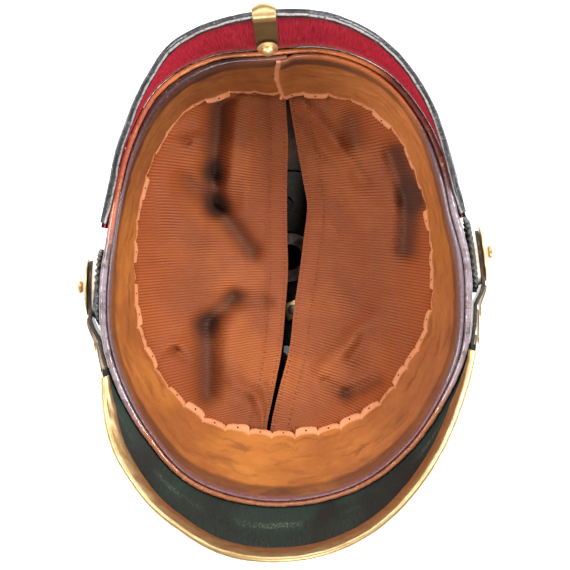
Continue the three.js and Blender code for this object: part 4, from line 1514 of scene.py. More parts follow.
@dataclass
class Welt:
    """The stuffed leather roll that caps the skull's edge."""

    width: float = 0.0026
    broader: float = 0.0012
    height: float = 0.0034
    level: float = 0.0006
    overhang: float = 0.0002
    columns: int = 480
    sides: int = 16
    pinch: float = 0.00016
    pinches: int = 150
    pinch_power: int = 6
    relief: Relief = Relief(0.00018, 0.009, 21)
    relief_depth: float = 0.01

    def width_at(self, bearing: Array) -> Array:
        """Gives the roll's width, which is broader at the sides."""
        return self.width + self.broader * np.cos(np.radians(bearing)) ** 2

    def surface(self, u: Array, v: Array) -> Array:
        """Carries the grid round the roll, with a slight pinch at each stitch.

        Args:
            u: Shares round the rim.
            v: Shares round the roll.

        Returns:
            The points.
        """
        bearing = TURN * u
        turn = math.tau * v
        pinched = self.pinch * np.cos(u * self.pinches * math.tau) ** self.pinch_power
        uneven = self.relief.at(bearing * DEGREE_RUN, v * self.relief_depth)
        wide = self.width_at(bearing) / 2 - pinched + uneven
        tall = self.height / 2 - pinched + uneven
        middle = FORM.rim(bearing) - self.width_at(bearing) / 2 + self.overhang
        return FORM.polar(bearing, middle + wide * np.cos(turn), self.level + tall * np.sin(turn))

    def build(self) -> None:
        """Models the roll."""
        piece = carried_grid("rim_welt_roll", self.columns, self.sides, self.surface, closed=True)
        edited(piece, bpy.ops.mesh.normals_make_consistent, inside=False)
        dressed(piece, WELT)
        shade(piece, 80)
        publish(piece, "welt_leather", "rim_welt")


@dataclass
class Band:
    """The sweatband: rolled over at the rim, leaning in to a hem of pinked scallops."""

    welt: Welt
    seam: float = 88
    under: float = 2.7
    columns: int = 1104
    rows: int = 38
    roll_share: float = 0.16
    scallops: int = 46
    scallop_depth: float = 0.0034
    teeth: int = 6
    tooth: float = 0.00042
    roll_crest: float = 0.003
    welt_room: float = 0.0001
    roll_edge: float = 0.0006
    roll_foot: float = -0.0015
    lap: float = 0.0018
    lap_from: float = 5
    lap_over: float = 3.5
    seam_gap: float = 0.2
    wall: float = 0.0013
    swell: float = 0.0011
    loose: Relief = Relief(0.0005, 0.02, 31)
    loose_run: float = 0.0016
    curl: float = 0.0013
    curl_from: float = 0.86
    ragged: Relief = Relief(0.0009, 0.009, 41)
    ragged_from: float = 0.996
    crease_radius: float = 0.09
    crease_bow: float = 0.002

    def scallop_at(self, bearing: Array) -> Array:
        """Counts the scallops from the seam to each bearing, with the part of the last one."""
        return (bearing - self.seam - self.seam_gap) / ((TURN - 2 * self.seam_gap) / self.scallops)

    def lobe(self, bearing: Array) -> Array:
        """Gives a scallop's outline: 0 in the notch between two, 1 in the middle.

        Args:
            bearing: Directions in degrees.

        Returns:
            The shares.
        """
        place = self.scallop_at(bearing)
        share = place - np.floor(place)
        round_edge = np.clip(1 - (2 * share - 1) ** 2, 0, 1) ** 0.42
        pinked = np.abs(np.sin(np.pi * share * self.teeth)) * self.tooth / self.scallop_depth
        return round_edge + pinked

    def uneven(self, bearing: Array) -> Array:
        """Gives each scallop a curl of its own."""
        number = np.floor(self.scallop_at(bearing))
        return np.sin(number * 2.399) * 0.6 + np.sin(number * 5.13 + 1) * 0.4

    def creased(self, bearing: Array, depth: Array) -> Array:
        """Adds up the wrinkles at each place.

        Args:
            bearing: Directions in degrees.
            depth: Depths under the rim.

        Returns:
            How far the band stands out.
        """
        total = np.zeros_like(bearing)
        scale = math.radians(1) * self.crease_radius
        for crease in CREASES:
            run = (crease.bearing1 - crease.bearing0) * scale
            fall = crease.depth1 - crease.depth0
            side = (bearing - crease.bearing0 + 180) % TURN - 180
            across = side * scale
            down = depth - crease.depth0
            share = np.clip((across * run + down * fall) / (run**2 + fall**2), 0, 1)
            bow = self.crease_bow * np.sin(np.pi * share)
            away = np.hypot(across - run * share, down - fall * share - bow)
            total += crease.height * hill(away, crease.width) * ease(4 * share) * ease(4 * (1 - share))
        return total

    def surface(self, u: Array, v: Array) -> Array:
        """Carries the grid over the roll, into its groove and down to the scallops.

        Args:
            u: Shares round the rim.
            v: Shares down the band.

        Returns:
            The points.
        """
        bearing = mix(self.seam - self.under, self.seam + TURN, u)
        groove = FORM.groove(bearing)
        outer = FORM.rim(bearing) + self.welt.overhang - self.welt.width_at(bearing) - self.welt_room
        roll = np.clip(v / self.roll_share, 0, 1)
        wall = np.clip((v - self.roll_share) / (1 - self.roll_share), 0, 1)
        hem = FORM.band_depth - self.scallop_depth * (1 - self.lobe(bearing))
        depth = -self.roll_foot + (hem + self.roll_foot) * wall**0.92
        roll_radius = mix(outer, groove, ease(roll) * 0.6 + roll * 0.4)
        roll_height = mix(self.roll_edge, self.roll_foot, roll) + self.roll_crest * np.sin(np.pi * roll)
        on_wall = v > self.roll_share
        radius = np.where(on_wall, FORM.band_radius(bearing, depth), roll_radius)
        height = np.where(on_wall, -depth, roll_height)
        calm = ease(wall * 7)
        swell = self.swell * np.sin(np.pi * wall) * calm
        loose = self.loose.at(bearing * self.loose_run, depth) * calm
        curl = self.curl * self.uneven(bearing) * ease((wall - self.curl_from) / (1 - self.curl_from))
        over = self.lap * ease((bearing - self.seam - TURN + self.lap_from) / self.lap_over)
        radius = radius + swell * 0.6 + loose + curl - over - self.creased(bearing, depth) * calm
        ragged = self.ragged.at(depth, depth * 0.3) * ease((u - self.ragged_from) / (1 - self.ragged_from))
        bearing = bearing + np.degrees(ragged / 0.1) + 1.1 * ease((u - 0.99) / 0.01) * np.sin(depth * 90)
        return FORM.polar(bearing, radius, height + over * 0.25 * (1 - wall))

    def build(self) -> None:
        """Models the band."""
        piece = carried_grid("sweatband_leather", self.columns, self.rows, self.surface)
        face(piece, MIDDLE, away=False)
        dressed(piece, BAND)
        thicken(piece, self.wall)
        round_edges(piece, 0.0003, 1, 60)
        shade(piece, 60)
        publish(piece, "band_leather", "sweatband")


class Side(Enum):
    """The wearer's left or right, as the sign of X."""

    LEFT = -1
    RIGHT = 1

    @property
    def word(self) -> str:
        """Gives the side's name."""
        return self.name.lower()


@dataclass
class Lining:
    """One half of the ribbed silk lining, from the slit to where it is tucked behind the band."""

    side: Side
    wall: float = 0.0007
    tuck: float = 0.007
    dip: float = 0.005
    lip_place: float = 0.88
    lip_out: float = 0.0005
    tuck_clear: float = 0.0028
    bowl: float = 2.3
    rib_height: float = 0.00024
    rib_wander: Relief = Relief(0.0016, 0.05, 61, 2)
    columns: int = 700
    rows: int = 62
    hem_width: float = 0.0095
    hem_rise: float = 0.0006
    hem_soft: float = 0.0008
    stitch_dent: float = 0.0003
    stitch_size: Triple = (0.0002, 0.0009, 0.0002)
    stitch_rows: tuple[float, float] = (0.0016, 0.0088)
    stitch_pitch: float = 0.0026
    cut: tuple[float, float] = (0.12, 0.21)
    cut_area: float = 0.0195
    valley_depth: float = 0.012
    tucked_from: float = 0.002

    def __post_init__(self) -> None:
        """Makes the curves of the slit."""
        self.depth_at = column(SLIT, "depth", "y")
        self.edge_at = column(SLIT, self.side.word, "y")
        self.uneven = Relief(0.0011, 0.045, 51 + self.side.value)

    @property
    def bearings(self) -> tuple[float, float]:
        """Gives the bearings of the half's back and front corners."""
        return (97, 252) if self.side is Side.LEFT else (79, -94)

    @staticmethod
    def folds(x: Array, y: Array) -> Array:
        """Adds up the folds and puckers at each place.

        Args:
            x: First coordinates.
            y: Second coordinates.

        Returns:
            The heights.
        """
        total = np.zeros_like(x)
        for fold in FOLDS + PUCKERS:
            dx = fold.x1 - fold.x0
            dy = fold.y1 - fold.y0
            share = np.clip(((x - fold.x0) * dx + (y - fold.y0) * dy) / (dx * dx + dy * dy), 0, 1)
            away = np.hypot(x - fold.x0 - dx * share, y - fold.y0 - dy * share)
            total += fold.height * hill(away, fold.width)
        return total

    def cloth(self, along: Array, across: Array) -> tuple[Array, Array, Array, Array]:
        """Gives the smooth cloth before its ribs.

        Args:
            along: 0 at the back, 1 at the front.
            across: 0 at the slit, 1 at the tucked edge.

        Returns:
            X, Y, height over the rim plane, and the distance from the slit's edge.
        """
        y = mix(SLIT[-1].y, SLIT[0].y, along)
        first, last = self.bearings
        bearing = mix(first, last, along)
        angle = np.radians(bearing)
        lip = FORM.hem(bearing) + self.lip_out
        tuck_depth = FORM.band_depth - self.tuck
        tuck = FORM.band_radius(bearing, tuck_depth) + FORM.band_wall + self.tuck_clear
        slit_x = self.edge_at(y)
        share = across / self.lip_place
        x_flat = mix(slit_x, lip * np.cos(angle), share)
        y_flat = mix(y, lip * np.sin(angle), share)
        low = -FORM.band_depth - self.dip
        height = mix(-self.depth_at(y), low, np.clip(share, 0, 1) ** self.bowl)
        calm = ease(share * 6) * ease((1 - share) * 5)
        height = height + (self.folds(x_flat, y_flat) + self.uneven.at(x_flat, y_flat)) * calm
        back = np.clip((across - self.lip_place) / (1 - self.lip_place), 0, 1)
        past = across > self.lip_place
        x = np.where(past, mix(lip, tuck, back) * np.cos(angle), x_flat)
        yy = np.where(past, mix(lip, tuck, back) * np.sin(angle), y_flat)
        height = np.where(past, mix(low, -tuck_depth, back), height)
        away = np.hypot(x_flat - slit_x, y_flat - y)
        return x, yy, height, away

    def surface(self, u: Array, v: Array) -> Array:
        """Carries the grid over the cloth, with its ribs and the hem along the slit.

        Args:
            u: Shares along the slit.
            v: Shares across the half.

        Returns:
            The points.
        """
        x, y, height, away = self.cloth(u, v)
        ribs = np.cos(math.tau * (u * SLIT_LENGTH + self.rib_wander.at(x, y)) / SILK.rib_pitch)
        height = height + self.rib_height * ribs
        height = height + self.hem_rise * (1 - ease((away - self.hem_width) / self.hem_soft))
        for row in self.stitch_rows:
            height = height - self.stitch_dent * hill(away - row, 2 * self.stitch_dent)
        return np.stack([x, y, height + FORM.rim_height], axis=-1)

    def stitches(self) -> Piece:
        """Models the hem's two rows of stitches.

        Returns:
            The stitches, as one piece.
        """
        deselect_all()
        bpy.ops.mesh.primitive_uv_sphere_add(segments=8, ring_count=6, radius=1)
        pattern = bpy.context.object
        set_points(pattern, points_of(pattern) * np.array(self.stitch_size))
        places = []
        for row in self.stitch_rows:
            for along in np.arange(0.02, 0.98, self.stitch_pitch / SLIT_LENGTH):
                shares = np.linspace(0, 0.5, 160)
                x, y, height, away = self.cloth(np.full_like(shares, along), shares)
                at = [float(np.interp(row, away, line)) for line in (x, y, height)]
                at[2] += FORM.rim_height + self.hem_rise
                places.append(Matrix.Translation(at))
        piece = many_of(f"lining_{self.side.word}_stitches", pattern, places)
        return dressed(piece, SILK_THREAD)

    def mark_valleys(self, piece: Piece) -> None:
        """Keeps how deep in a fold each point lies, for the painted shade in the silk's folds.

        Args:
            piece: The half's sheet.
        """
        x, y, z = points_of(piece).T
        inside = 1 - ease((z - FORM.rim_height + FORM.band_depth + self.dip) / self.tucked_from)
        depth = ease(-self.folds(x, y) / self.valley_depth) * inside
        marks = piece.data.attributes.new("valley", "FLOAT", "POINT")
        marks.data.foreach_set("value", depth.astype(np.float32))

    def build(self) -> None:
        """Models the half and its stitches."""
        name = f"lining_{self.side.word}_silk"
        piece = carried_grid(name, self.columns, self.rows, self.surface)
        self.mark_valleys(piece)
        face(piece, (0, 0, FORM.rim_height + 0.1), away=False)
        dressed(piece, SILK)
        thicken(piece, self.wall)
        shade(piece, 80)
        stitches = self.stitches()
        shade(stitches, 80)
        publish(stitches, "ribbed_silk")
        publish(piece, "ribbed_silk", f"lining_{self.side.word}")


@dataclass
class Crown:
    """The black disc in the crown with its vent ring, nut and washer."""

    disc_radius: float = 0.046
    disc_wall: float = 0.0008
    ring_radius: float = 0.013
    ring_wall: float = 0.0012
    fitting_radius: float = 0.028
    nut_side: float = 0.010
    nut_height: float = 0.003
    nut_turn: float = 17
    washer_radius: float = 0.0046
    seat_reach: float = 0.006

    @property
    def disc_inset(self) -> float:
        """Gives how far the disc's outer face is inside the skull."""
        return FORM.wall + GAP

    @property
    def ring_inset(self) -> float:
        """Gives how far the vent ring's outer face is inside the skull."""
        return self.disc_inset + self.disc_wall + GAP

    def ring(self, name: str, reach: float, inset: float, wall: float, steps: int) -> Piece:
        """Models a thin ring that follows the crown, from the vent outwards.

        Args:
            name: The piece's name.
            reach: Its outer radius.
            inset: How far its outer face is inside the skull.
            wall: Its thickness.
            steps: Faces from the vent to the edge.

        Returns:
            The ring.
        """
        def surface(u: Array, v: Array) -> Array:
            """Carries the grid over the crown."""
            bearing = TURN * u
            radius = mix(FORM.vent_radius, reach, v)
            return FORM.polar(bearing, radius, FORM.crown_level(bearing, radius, inset + wall))

        piece = carried_grid(name, 96, steps, surface, closed=True)
        face(piece, MIDDLE, away=False)
        thicken(piece, wall)
        round_edges(piece, wall * 0.35)
        return piece

    def seat(self, bearing: float, lift: float) -> Matrix:
        """Gives the place of a fitting that lies on the crown's slope.

        Args:
            bearing: Direction in degrees.
            lift: How far it is off the vent ring.

        Returns:
            The place.
        """
        near = self.fitting_radius - self.seat_reach
        far = self.fitting_radius + self.seat_reach
        slope = float(FORM.crown_level(bearing, far, self.ring_inset)
                      - FORM.crown_level(bearing, near, self.ring_inset)) / (2 * self.seat_reach)
        level = float(FORM.crown_level(bearing, self.fitting_radius, self.ring_inset))
        turn = Matrix.Rotation(math.radians(bearing), 4, "Z")
        move = Matrix.Translation((self.fitting_radius, 0, FORM.rim_height + level + lift))
        return turn @ move @ Matrix.Rotation(-math.atan(slope), 4, "Y")

    def nut(self) -> None:
        """Models the square nut with the end of its stud."""
        deselect_all()
        bpy.ops.mesh.primitive_cube_add(size=1, scale=(self.nut_side, self.nut_side, self.nut_height))
        block = bpy.context.object
        bpy.ops.object.transform_apply(scale=True)
        round_edges(block, 0.0007, 3, 30)
        stud = turned("stud", [(0.0026, 0.001), (0.0026, 0.0026), (0.002, 0.0032), (0.0008, 0.0033)], 24)
        dressed(block, FITTING_BRASS)
        dressed(stud, GREY_METAL)
        piece = joined("front_nut_brass", [block, stud])
        put(piece, Matrix.Rotation(math.radians(self.nut_turn), 4, "Z"))
        put(piece, self.seat(270, GAP + self.nut_height / 2))
        shade(piece, 35)
        publish(piece, "brass", "front_nut")

    def washer(self) -> None:
        """Models the embossed round washer."""
        r = self.washer_radius
        piece = turned("rear_washer_black", [
            (r * 0.5, 0), (r, 0), (r, 0.0007), (r - 0.0004, 0.0011), (r - 0.001, 0.0011),
            (r - 0.0014, 0.0008), (r - 0.002, 0.0008), (r - 0.0024, 0.0015), (0.0008, 0.0017)], 40)
        put(piece, self.seat(90, GAP))
        dressed(piece, BLACK_METAL_AND_NECK_SHADE)
        shade(piece, 35)
        publish(piece, "black_disc", "rear_washer")

    def build(self) -> None:
        """Models the disc and its fittings."""
        disc = self.ring("crown_disc_plate", self.disc_radius, self.disc_inset, self.disc_wall, 24)
        dressed(disc, BLACK_METAL_AND_NECK_SHADE)
        shade(disc)
        publish(disc, "black_disc", "crown_disc")
        ring = self.ring("vent_ring_washer", self.ring_radius, self.ring_inset, self.ring_wall, 8)
        dressed(ring, GREY_METAL)
        shade(ring)
        publish(ring, "grey_metal", "vent_ring")
        self.nut()
        self.washer()


@dataclass
class Base:
    """The brass base on the crown and its neck, which the helmet stands on."""

    radius: float = 0.044
    wall: float = 0.001
    neck_radius: float = 0.0165
    foot_radius: float = 0.021
    foot_lip: float = 0.0024
    bevel: float = 0.0006
    columns: int = 120

    def outline(self, bearing: Array) -> tuple[list[Array], list[Array]]:
        """Gives the steps of the outside, from the foot's centre to the base's edge.

        Args:
            bearing: Directions in degrees.

        Returns:
            The radii and heights of each step.
        """
        foot = -FORM.rim_height
        neck = self.neck_radius
        fixed = [
            (0.0, foot), (0.006, foot), (0.013, foot), (self.foot_radius - self.bevel, foot),
            (self.foot_radius, foot + self.bevel), (self.foot_radius, foot + self.foot_lip),
            (neck + 0.0016, foot + self.foot_lip + 0.0009), (neck + 0.0005, foot + self.foot_lip + 0.003),
            (neck, -FORM.dome_height - 0.009), (neck, -FORM.dome_height - 0.006),
            (neck + 0.0003, -FORM.dome_height - 0.0045),
        ]
        radii = [np.full_like(bearing, r) for r, _ in fixed]
        heights = [np.full_like(bearing, h) for _, h in fixed]
        for radius in np.linspace(neck + 0.0015, self.radius, 14):
            radii.append(np.full_like(bearing, radius))
            heights.append(FORM.crown_level(bearing, np.full_like(bearing, radius), -(GAP + self.wall)))
        return radii, heights

    def surface(self, u: Array, v: Array) -> Array:
        """Carries the grid over the outline.

        Args:
            u: Shares round the base.
            v: Shares along the outline.

        Returns:
            The points.
        """
        bearing = TURN * u
        radii, heights = self.outline(bearing)
        step = np.rint(v * (len(radii) - 1)).astype(int)
        pick = np.arange(len(u))
        return FORM.polar(bearing, np.array(radii)[step, pick], np.array(heights)[step, pick])

    def build(self) -> None:
        """Models the base and neck."""
        piece = carried_grid("base_and_neck_brass", self.columns, 24, self.surface, closed=True)
        face(piece, MIDDLE, away=True)
        # The inside is dressed black: painted shade for the dark seen down the vent.
        dressed(piece, OLD_BRASS, BLACK_METAL_AND_NECK_SHADE)
        thicken(piece, self.wall, back=1)
        round_edges(piece, 0.0003, 2, 30)
        shade(piece, 40)
        publish(piece, "brass", "base_and_neck")


@dataclass
class Spine:
    """The brass strip down the back, hooked over the neck guard, and its stud."""

    guard: Flare
    base: Base
    width: float = 0.011
    wall: float = 0.0008
    crown: float = 0.0034
    end_drop: float = 0.010
    stud_drop: float = 0.024
    stud_lift: float = 0.0036
    stud_facing: float = 55
    rounded_from: float = 0.979
    tarnished_from: float = 0.815
    hook_near: float = 0.001
    hook_far: float = 0.005
    hook_reach: float = 0.014
    spring: float = 0.0002
    crown_power: float = 1.1
    columns: int = 16
    rows: int = 260

    def guard_at(self, along: float) -> tuple[float, float]:
        """Gives the radius and height of the guard's inner face in the middle of the back."""
        radius, height = self.guard.inner(np.array([BACK]), np.array([along]))
        return float(radius[0]), float(height[0])

    def path(self) -> tuple[Array, int]:
        """Gives the strip's line as radii and heights, and how many are outside the guard.

        Returns:
            The line, and the number of its points outside.
        """
        clear = GAP + self.wall / 2 + self.spring
        start = float(FORM.swing_at(BACK, self.base.radius + 0.001))
        swings = np.linspace(start, 9, 24)
        skull = np.stack(FORM.dome(BACK, swings, -clear), axis=-1)
        along = np.array([-1, -0.4, 0.0, 0.14, 0.34, 0.5])
        inner_r, inner_h = self.guard.inner(np.full_like(along, BACK), along)
        run = np.gradient(np.stack([inner_r, inner_h], axis=-1), axis=0)
        run /= np.linalg.norm(run, axis=1, keepdims=True)
        off = self.guard.wall + clear + 0.0001
        outside = np.stack([inner_r + run[:, 1] * off, inner_h - run[:, 0] * off], axis=-1)
        end_r, end_h, run_r, run_h = (float(a[0]) for a in self.guard.edge_frame(np.array([BACK])))
        cover = self.guard.cover
        over = cover.wall + cover.clear + clear
        thick = self.guard.wall
        far, near = -cover.leg - self.hook_far, -cover.leg - self.hook_near
        bend, tip = over * 0.75, over * 1.3
        hook = [
            (far, thick + clear), (near, thick + over), (0, thick + over + self.spring),
            (bend, thick + bend), (tip, thick / 2), (bend, -bend),
            (0, -over - self.spring), (near, -over), (far, -clear),
        ]
        forward, aside = np.array(hook).T
        round_hook = np.stack([end_r + run_r * forward + run_h * aside,
                               end_h + run_h * forward - run_r * aside], axis=-1)
        drops = np.linspace(end_h - cover.leg - self.hook_reach, self.end_drop, 8)
        foot = self.guard_at(0.0)[0]
        inside = np.stack([foot + (end_r - foot) * (drops / end_h) ** self.guard.sag - clear, drops], axis=-1)
        return np.concatenate([skull, outside, round_hook, inside]), len(skull) + len(outside) + 2

    def surface(self, u: Array, v: Array) -> Array:
        """Carries the grid along the strip.

        Args:
            u: Shares across the strip.
            v: Shares along it.

        Returns:
            The points.
        """
        points, outside = self.path()
        steps = np.concatenate([[0], np.cumsum(np.linalg.norm(np.diff(points, axis=0), axis=1))])
        share = steps / steps[-1]
        fine = np.linspace(0, 1, 1200)
        line = np.stack([np.interp(fine, share, points[:, i]) for i in (0, 1)], axis=-1)
        for _ in range(30):
            line[1:-1] = (line[:-2] + 2 * line[1:-1] + line[2:]) / 4
        run = np.gradient(line, axis=0)
        run /= np.linalg.norm(run, axis=1, keepdims=True)
        level = np.interp(np.arange(len(points)), [0, outside - 1, outside + 2], [1, 1, 0])
        crown = self.crown * np.interp(v, share, level) * (1 - (2 * u - 1) ** 2) ** self.crown_power
        radius = np.interp(v, fine, line[:, 0]) + crown * np.interp(v, fine, run[:, 1])
        height = np.interp(v, fine, line[:, 1]) - crown * np.interp(v, fine, run[:, 0])
        past = np.clip((v - self.rounded_from) / (1 - self.rounded_from), 0, 1)
        tip = np.sqrt(np.clip(1 - past**2, 0.02, 1))
        return np.stack([(u - 0.5) * self.width * tip, radius, height + FORM.rim_height], axis=-1)

    def stud(self) -> None:
        """Models the domed stud inside the guard and the disc it sits on."""
        piece = turned("spine_stud_dome", [
            (0.0015, 0), (0.0048, 0), (0.005, 0.0003), (0.005, 0.0006), (0.0046, 0.0009),
            (0.0036, 0.0011), (0.0033, 0.0014), (0.0033, 0.002), (0.003, 0.0029), (0.0023, 0.0036),
            (0.0012, 0.004), (0.0004, 0.0041)], 48)
        along = self.stud_drop / self.guard_at(1.0)[1]
        radius = self.guard_at(along)[0] - self.wall - self.stud_lift
        put(piece, Matrix.Rotation(math.radians(self.stud_facing), 4, "X"))
        put(piece, Matrix.Translation((0, radius, FORM.rim_height + self.stud_drop)))
        dressed(piece, STUD_BRASS)
        shade(piece, 35)
        publish(piece, "brass", "spine_stud")

    def build(self) -> None:
        """Models the strip and its stud."""
        piece = carried_grid("rear_spine_strip", self.columns, self.rows, self.surface)
        face(piece, MIDDLE, away=True)
        dressed(piece, Brass("spine_brass", rough=0.44, dirt=0.4, aged_from=self.tarnished_from))
        modify(piece, "SOLIDIFY", thickness=self.wall, offset=0.0)
        round_edges(piece, 0.00025, 2, 40)
        shade(piece, 50)
        self.stud()
        publish(piece, "brass", "rear_spine")


@dataclass
class SideFittings:
    """A side's cockade, brass disc and knob, with the end of the strap between them."""

    side: Side
    facing: float
    standoff: float
    turn_from: float
    place: float = 0.0
    cockade_radius: float = 0.019
    cockade_wall: float = 0.0016
    cockade_metal: float = 0.0009
    cockade_dish: float = 0.0024
    ring_step: float = 0.0012
    ring_share: float = 0.8
    step_share: float = 0.03
    edge_curl: float = 0.0006
    flute_depth: float = 0.0005
    flutes: int = 32
    strap_wall: float = 0.0018
    disc_radius: float = 0.014
    disc_wall: float = 0.0006
    disc_rise: float = 0.0026
    knob_radius: float = 0.0034
    knob_height: float = 0.0026
    spread: float = 13

    @property
    def station(self) -> float:
        """Gives how far from the middle the stack starts: clear of the skull's widest place.

        Returns:
            The distance.
        """
        middle = 0.0 if self.side is Side.RIGHT else 180.0
        bearings = middle + np.linspace(-self.spread, self.spread, 9)
        lean = np.cos(np.radians(bearings - self.facing))
        widths = [FORM.dome(bearings, swing)[0] * lean for swing in (5.0, 12.0, 21.0)]
        return float(np.max(widths)) + GAP + self.standoff

    def stacked(self, piece: Piece, out: float) -> Piece:
        """Turns a piece to face sideways and puts it in the stack.

        Args:
            piece: The piece.
            out: Its height in the stack.

        Returns:
            The piece.
        """
        facing = math.radians(self.facing)
        x = (self.station - self.place * math.sin(facing)) / math.cos(facing)
        put(piece, Matrix.Rotation(math.radians(90), 4, "Y"))
        put(piece, Matrix.Translation((out, 0, 0)))
        put(piece, Matrix.Rotation(facing, 4, "Z"))
        return put(piece, Matrix.Translation((x, self.place, FORM.rim_height - FORM.side_depth)))

    def cockade(self) -> None:
        """Models the fluted disc."""
        def surface(u: Array, v: Array) -> Array:
            """Carries the grid over the flutes.

            Args:
                u: Shares round the disc.
                v: Shares of its radius.

            Returns:
                The points.
            """
            turn = math.tau * u
            radius = self.cockade_radius * v
            past = v - self.ring_share
            fall = self.cockade_dish + self.edge_curl - self.ring_step
            out = self.cockade_wall - self.ring_step * ease(past / self.step_share)
            out = out - fall * ease(past / (1 - self.ring_share))
            out = out + self.flute_depth * np.cos(turn * self.flutes) * ease((past - self.step_share) / 0.04)
            return np.stack([radius * np.cos(turn), radius * np.sin(turn), out], axis=-1)

        piece = carried_grid(f"cockade_{self.side.word}_fluted", self.flutes * 8, 24, surface, closed=True)
        face(piece, (0, 0, -1), away=True)
        thicken(piece, self.cockade_metal)
        dressed(piece, COCKADE)
        shade(self.stacked(piece, 0), 60)
        publish(piece, "cockade_paint", f"cockade_{self.side.word}")

    def disc(self) -> None:
        """Models the brass disc over the strap's end."""
        r, w, rise = self.disc_radius, self.disc_wall, self.disc_rise
        piece = turned(f"rosette_{self.side.word}_disc", [
            (0.002, 0), (r - 0.0003, 0), (r, 0.0002), (r, w - 0.0001), (r - 0.0003, w + 0.0001),
            (r * 0.9, w + 0.0004), (r * 0.8, rise * 0.48), (r * 0.66, rise * 0.68), (r * 0.5, rise * 0.85),
            (r * 0.3, rise * 0.96), (0.002, rise)], 72)
        dressed(piece, FITTING_BRASS)
        shade(self.stacked(piece, self.cockade_wall + self.strap_wall + GAP * 2), 35)
        publish(piece, "brass", f"rosette_{self.side.word}")

    def knob(self) -> None:
        """Models the knob that holds the stack."""
        r, h = self.knob_radius, self.knob_height
        piece = turned(f"knob_{self.side.word}_turned", [
            (0.001, 0), (r * 0.8, 0), (r * 0.86, h * 0.14), (r, h * 0.3), (r, h * 0.55), (r * 0.86, h * 0.8),
            (r * 0.6, h * 0.95), (r * 0.3, h), (0.0004, h)], 40)
        dressed(piece, FITTING_BRASS)
        out = self.cockade_wall + self.strap_wall + GAP * 3 + self.disc_rise
        shade(self.stacked(piece, out), 35)
        publish(piece, "brass", f"knob_{self.side.word}")

    def build(self) -> None:
        """Models the stack."""
        self.cockade()
        self.disc()
        self.knob()


@dataclass
class ChinStrap:
    """The leather strap round the front, on the crown side of the peak, and its brass scales."""

    right: SideFittings
    left: SideFittings
    half_side: float = 0.0085
    half_front: float = 0.0065
    scale_side: float = 0.0096
    scale_front: float = 0.0072
    standoff: float = 0.0016
    wall: float = 0.0018
    end: float = 0.012
    turn_over: float = 8
    scales: int = 11
    scale_wall: float = 0.0005
    scale_rise: float = 0.0011
    overlap: float = 0.3
    first_scale: float = 9.2
    front_gap: float = 0.4
    strap_ends: tuple[float, float] = (7.0, -187.0)
    scale_curve: float = 0.42
    scale_crown: float = 0.0006
    scale_lip: float = 0.0003

    def radius(self, bearing: Array) -> Array:
        """Gives the radius of the strap's inner face.

        Args:
            bearing: Directions in degrees.

        Returns:
            The radii.
        """
        hug = FORM.rim(bearing) + self.standoff
        right = bearing > -90
        turn_from = np.where(right, self.right.turn_from, self.left.turn_from)
        swing = np.where(right, -bearing, bearing + 180)
        station = np.where(right, self.right.station, self.left.station) + self.right.cockade_wall + GAP
        lean = bearing - np.where(right, self.right.facing, self.left.facing - TURN)
        flat = station / np.cos(np.radians(np.clip(lean, -50, 50)))
        turned_in = (swing - turn_from) / self.turn_over
        return np.where(turned_in > 1, hug, mix(flat, hug, ease(turned_in)))

    @staticmethod
    def frontness(bearing: Array) -> Array:
        """Gives 0 at the sides and 1 at the front."""
        return np.clip(1 - np.abs(bearing + 90) / 90, 0, 1)

    def surface(self, u: Array, v: Array) -> Array:
        """Carries the grid along the strap, with its ends rounded.

        Args:
            u: Shares along the strap.
            v: Shares across it.

        Returns:
            The points.
        """
        bearing = mix(*self.strap_ends, u)
        radius = self.radius(bearing)
        behind = np.maximum(radius * np.sin(np.radians(bearing)), 0)
        rounded = np.sqrt(np.maximum(1 - (behind / self.end) ** 2, 0.12))
        half = mix(self.half_side, self.half_front, self.frontness(bearing)) * rounded
        return FORM.polar(bearing, radius, -FORM.side_depth + half * (2 * v - 1))

    def scale_surface(self, start: float, step: float) -> Surface:
        """Gives the surface of one scale.

        Args:
            start: Bearing of its low edge.
            step: Bearing from one scale to the next.

        Returns:
            A function for the scale's grid.
        """
        def surface(u: Array, v: Array) -> Array:
            """Carries the grid over the scale.

            Args:
                u: Shares across the scale.
                v: Shares along it.

            Returns:
                The points.
            """
            share = 2 * u - 1
            rounding = self.scale_curve * (1 - np.sqrt(1 - 0.86 * share**2))
            length = 1 + self.overlap - rounding
            place = length - length * v
            bearing = start + step * place
            rise = self.scale_rise * np.clip(place, 0, 1.3)
            broad = mix(self.scale_side, self.scale_front, self.frontness(bearing))
            half = broad * (0.9 + 0.1 * np.sin(np.pi * np.clip(place, 0, 1)))
            crown = self.scale_crown * (1 - share**2)
            lip = self.scale_lip * hill(place - length + 0.06, 0.08)
            out = self.wall + GAP + self.scale_wall + rise + crown + lip
            return FORM.polar(bearing, self.radius(bearing) + out, -FORM.side_depth + half * share)

        return surface

    def scale_run(self, side: Side) -> None:
        """Models one side's overlapping scales.

        Args:
            side: The run's side.
        """
        first = -self.first_scale if side is Side.RIGHT else self.first_scale - 180
        last = -90 + self.front_gap * side.value
        step = (last - first) / self.scales
        plates = []
        for number in range(self.scales):
            plate = carried_grid(f"scale_{number}", 14, 12, self.scale_surface(first + step * number, step))
            face(plate, MIDDLE, away=True)
            thicken(plate, self.scale_wall)
            round_edges(plate, 0.00015, 1, 50)
            plates.append(dressed(plate, FITTING_BRASS))
        piece = joined(f"scales_{side.word}_plates", plates)
        shade(piece, 40)
        publish(piece, "brass", f"scales_{side.word}")

    def build(self) -> None:
        """Models the strap and both runs of scales."""
        piece = carried_grid("chin_strap_leather", 360, 10, self.surface)
        face(piece, MIDDLE, away=True)
        dressed(piece, STRAP)
        thicken(piece, self.wall, grow=1.0)
        round_edges(piece, 0.0003)
        shade(piece, 50)
        publish(piece, "strap_leather", "chin_strap")
        self.scale_run(Side.RIGHT)
        self.scale_run(Side.LEFT)


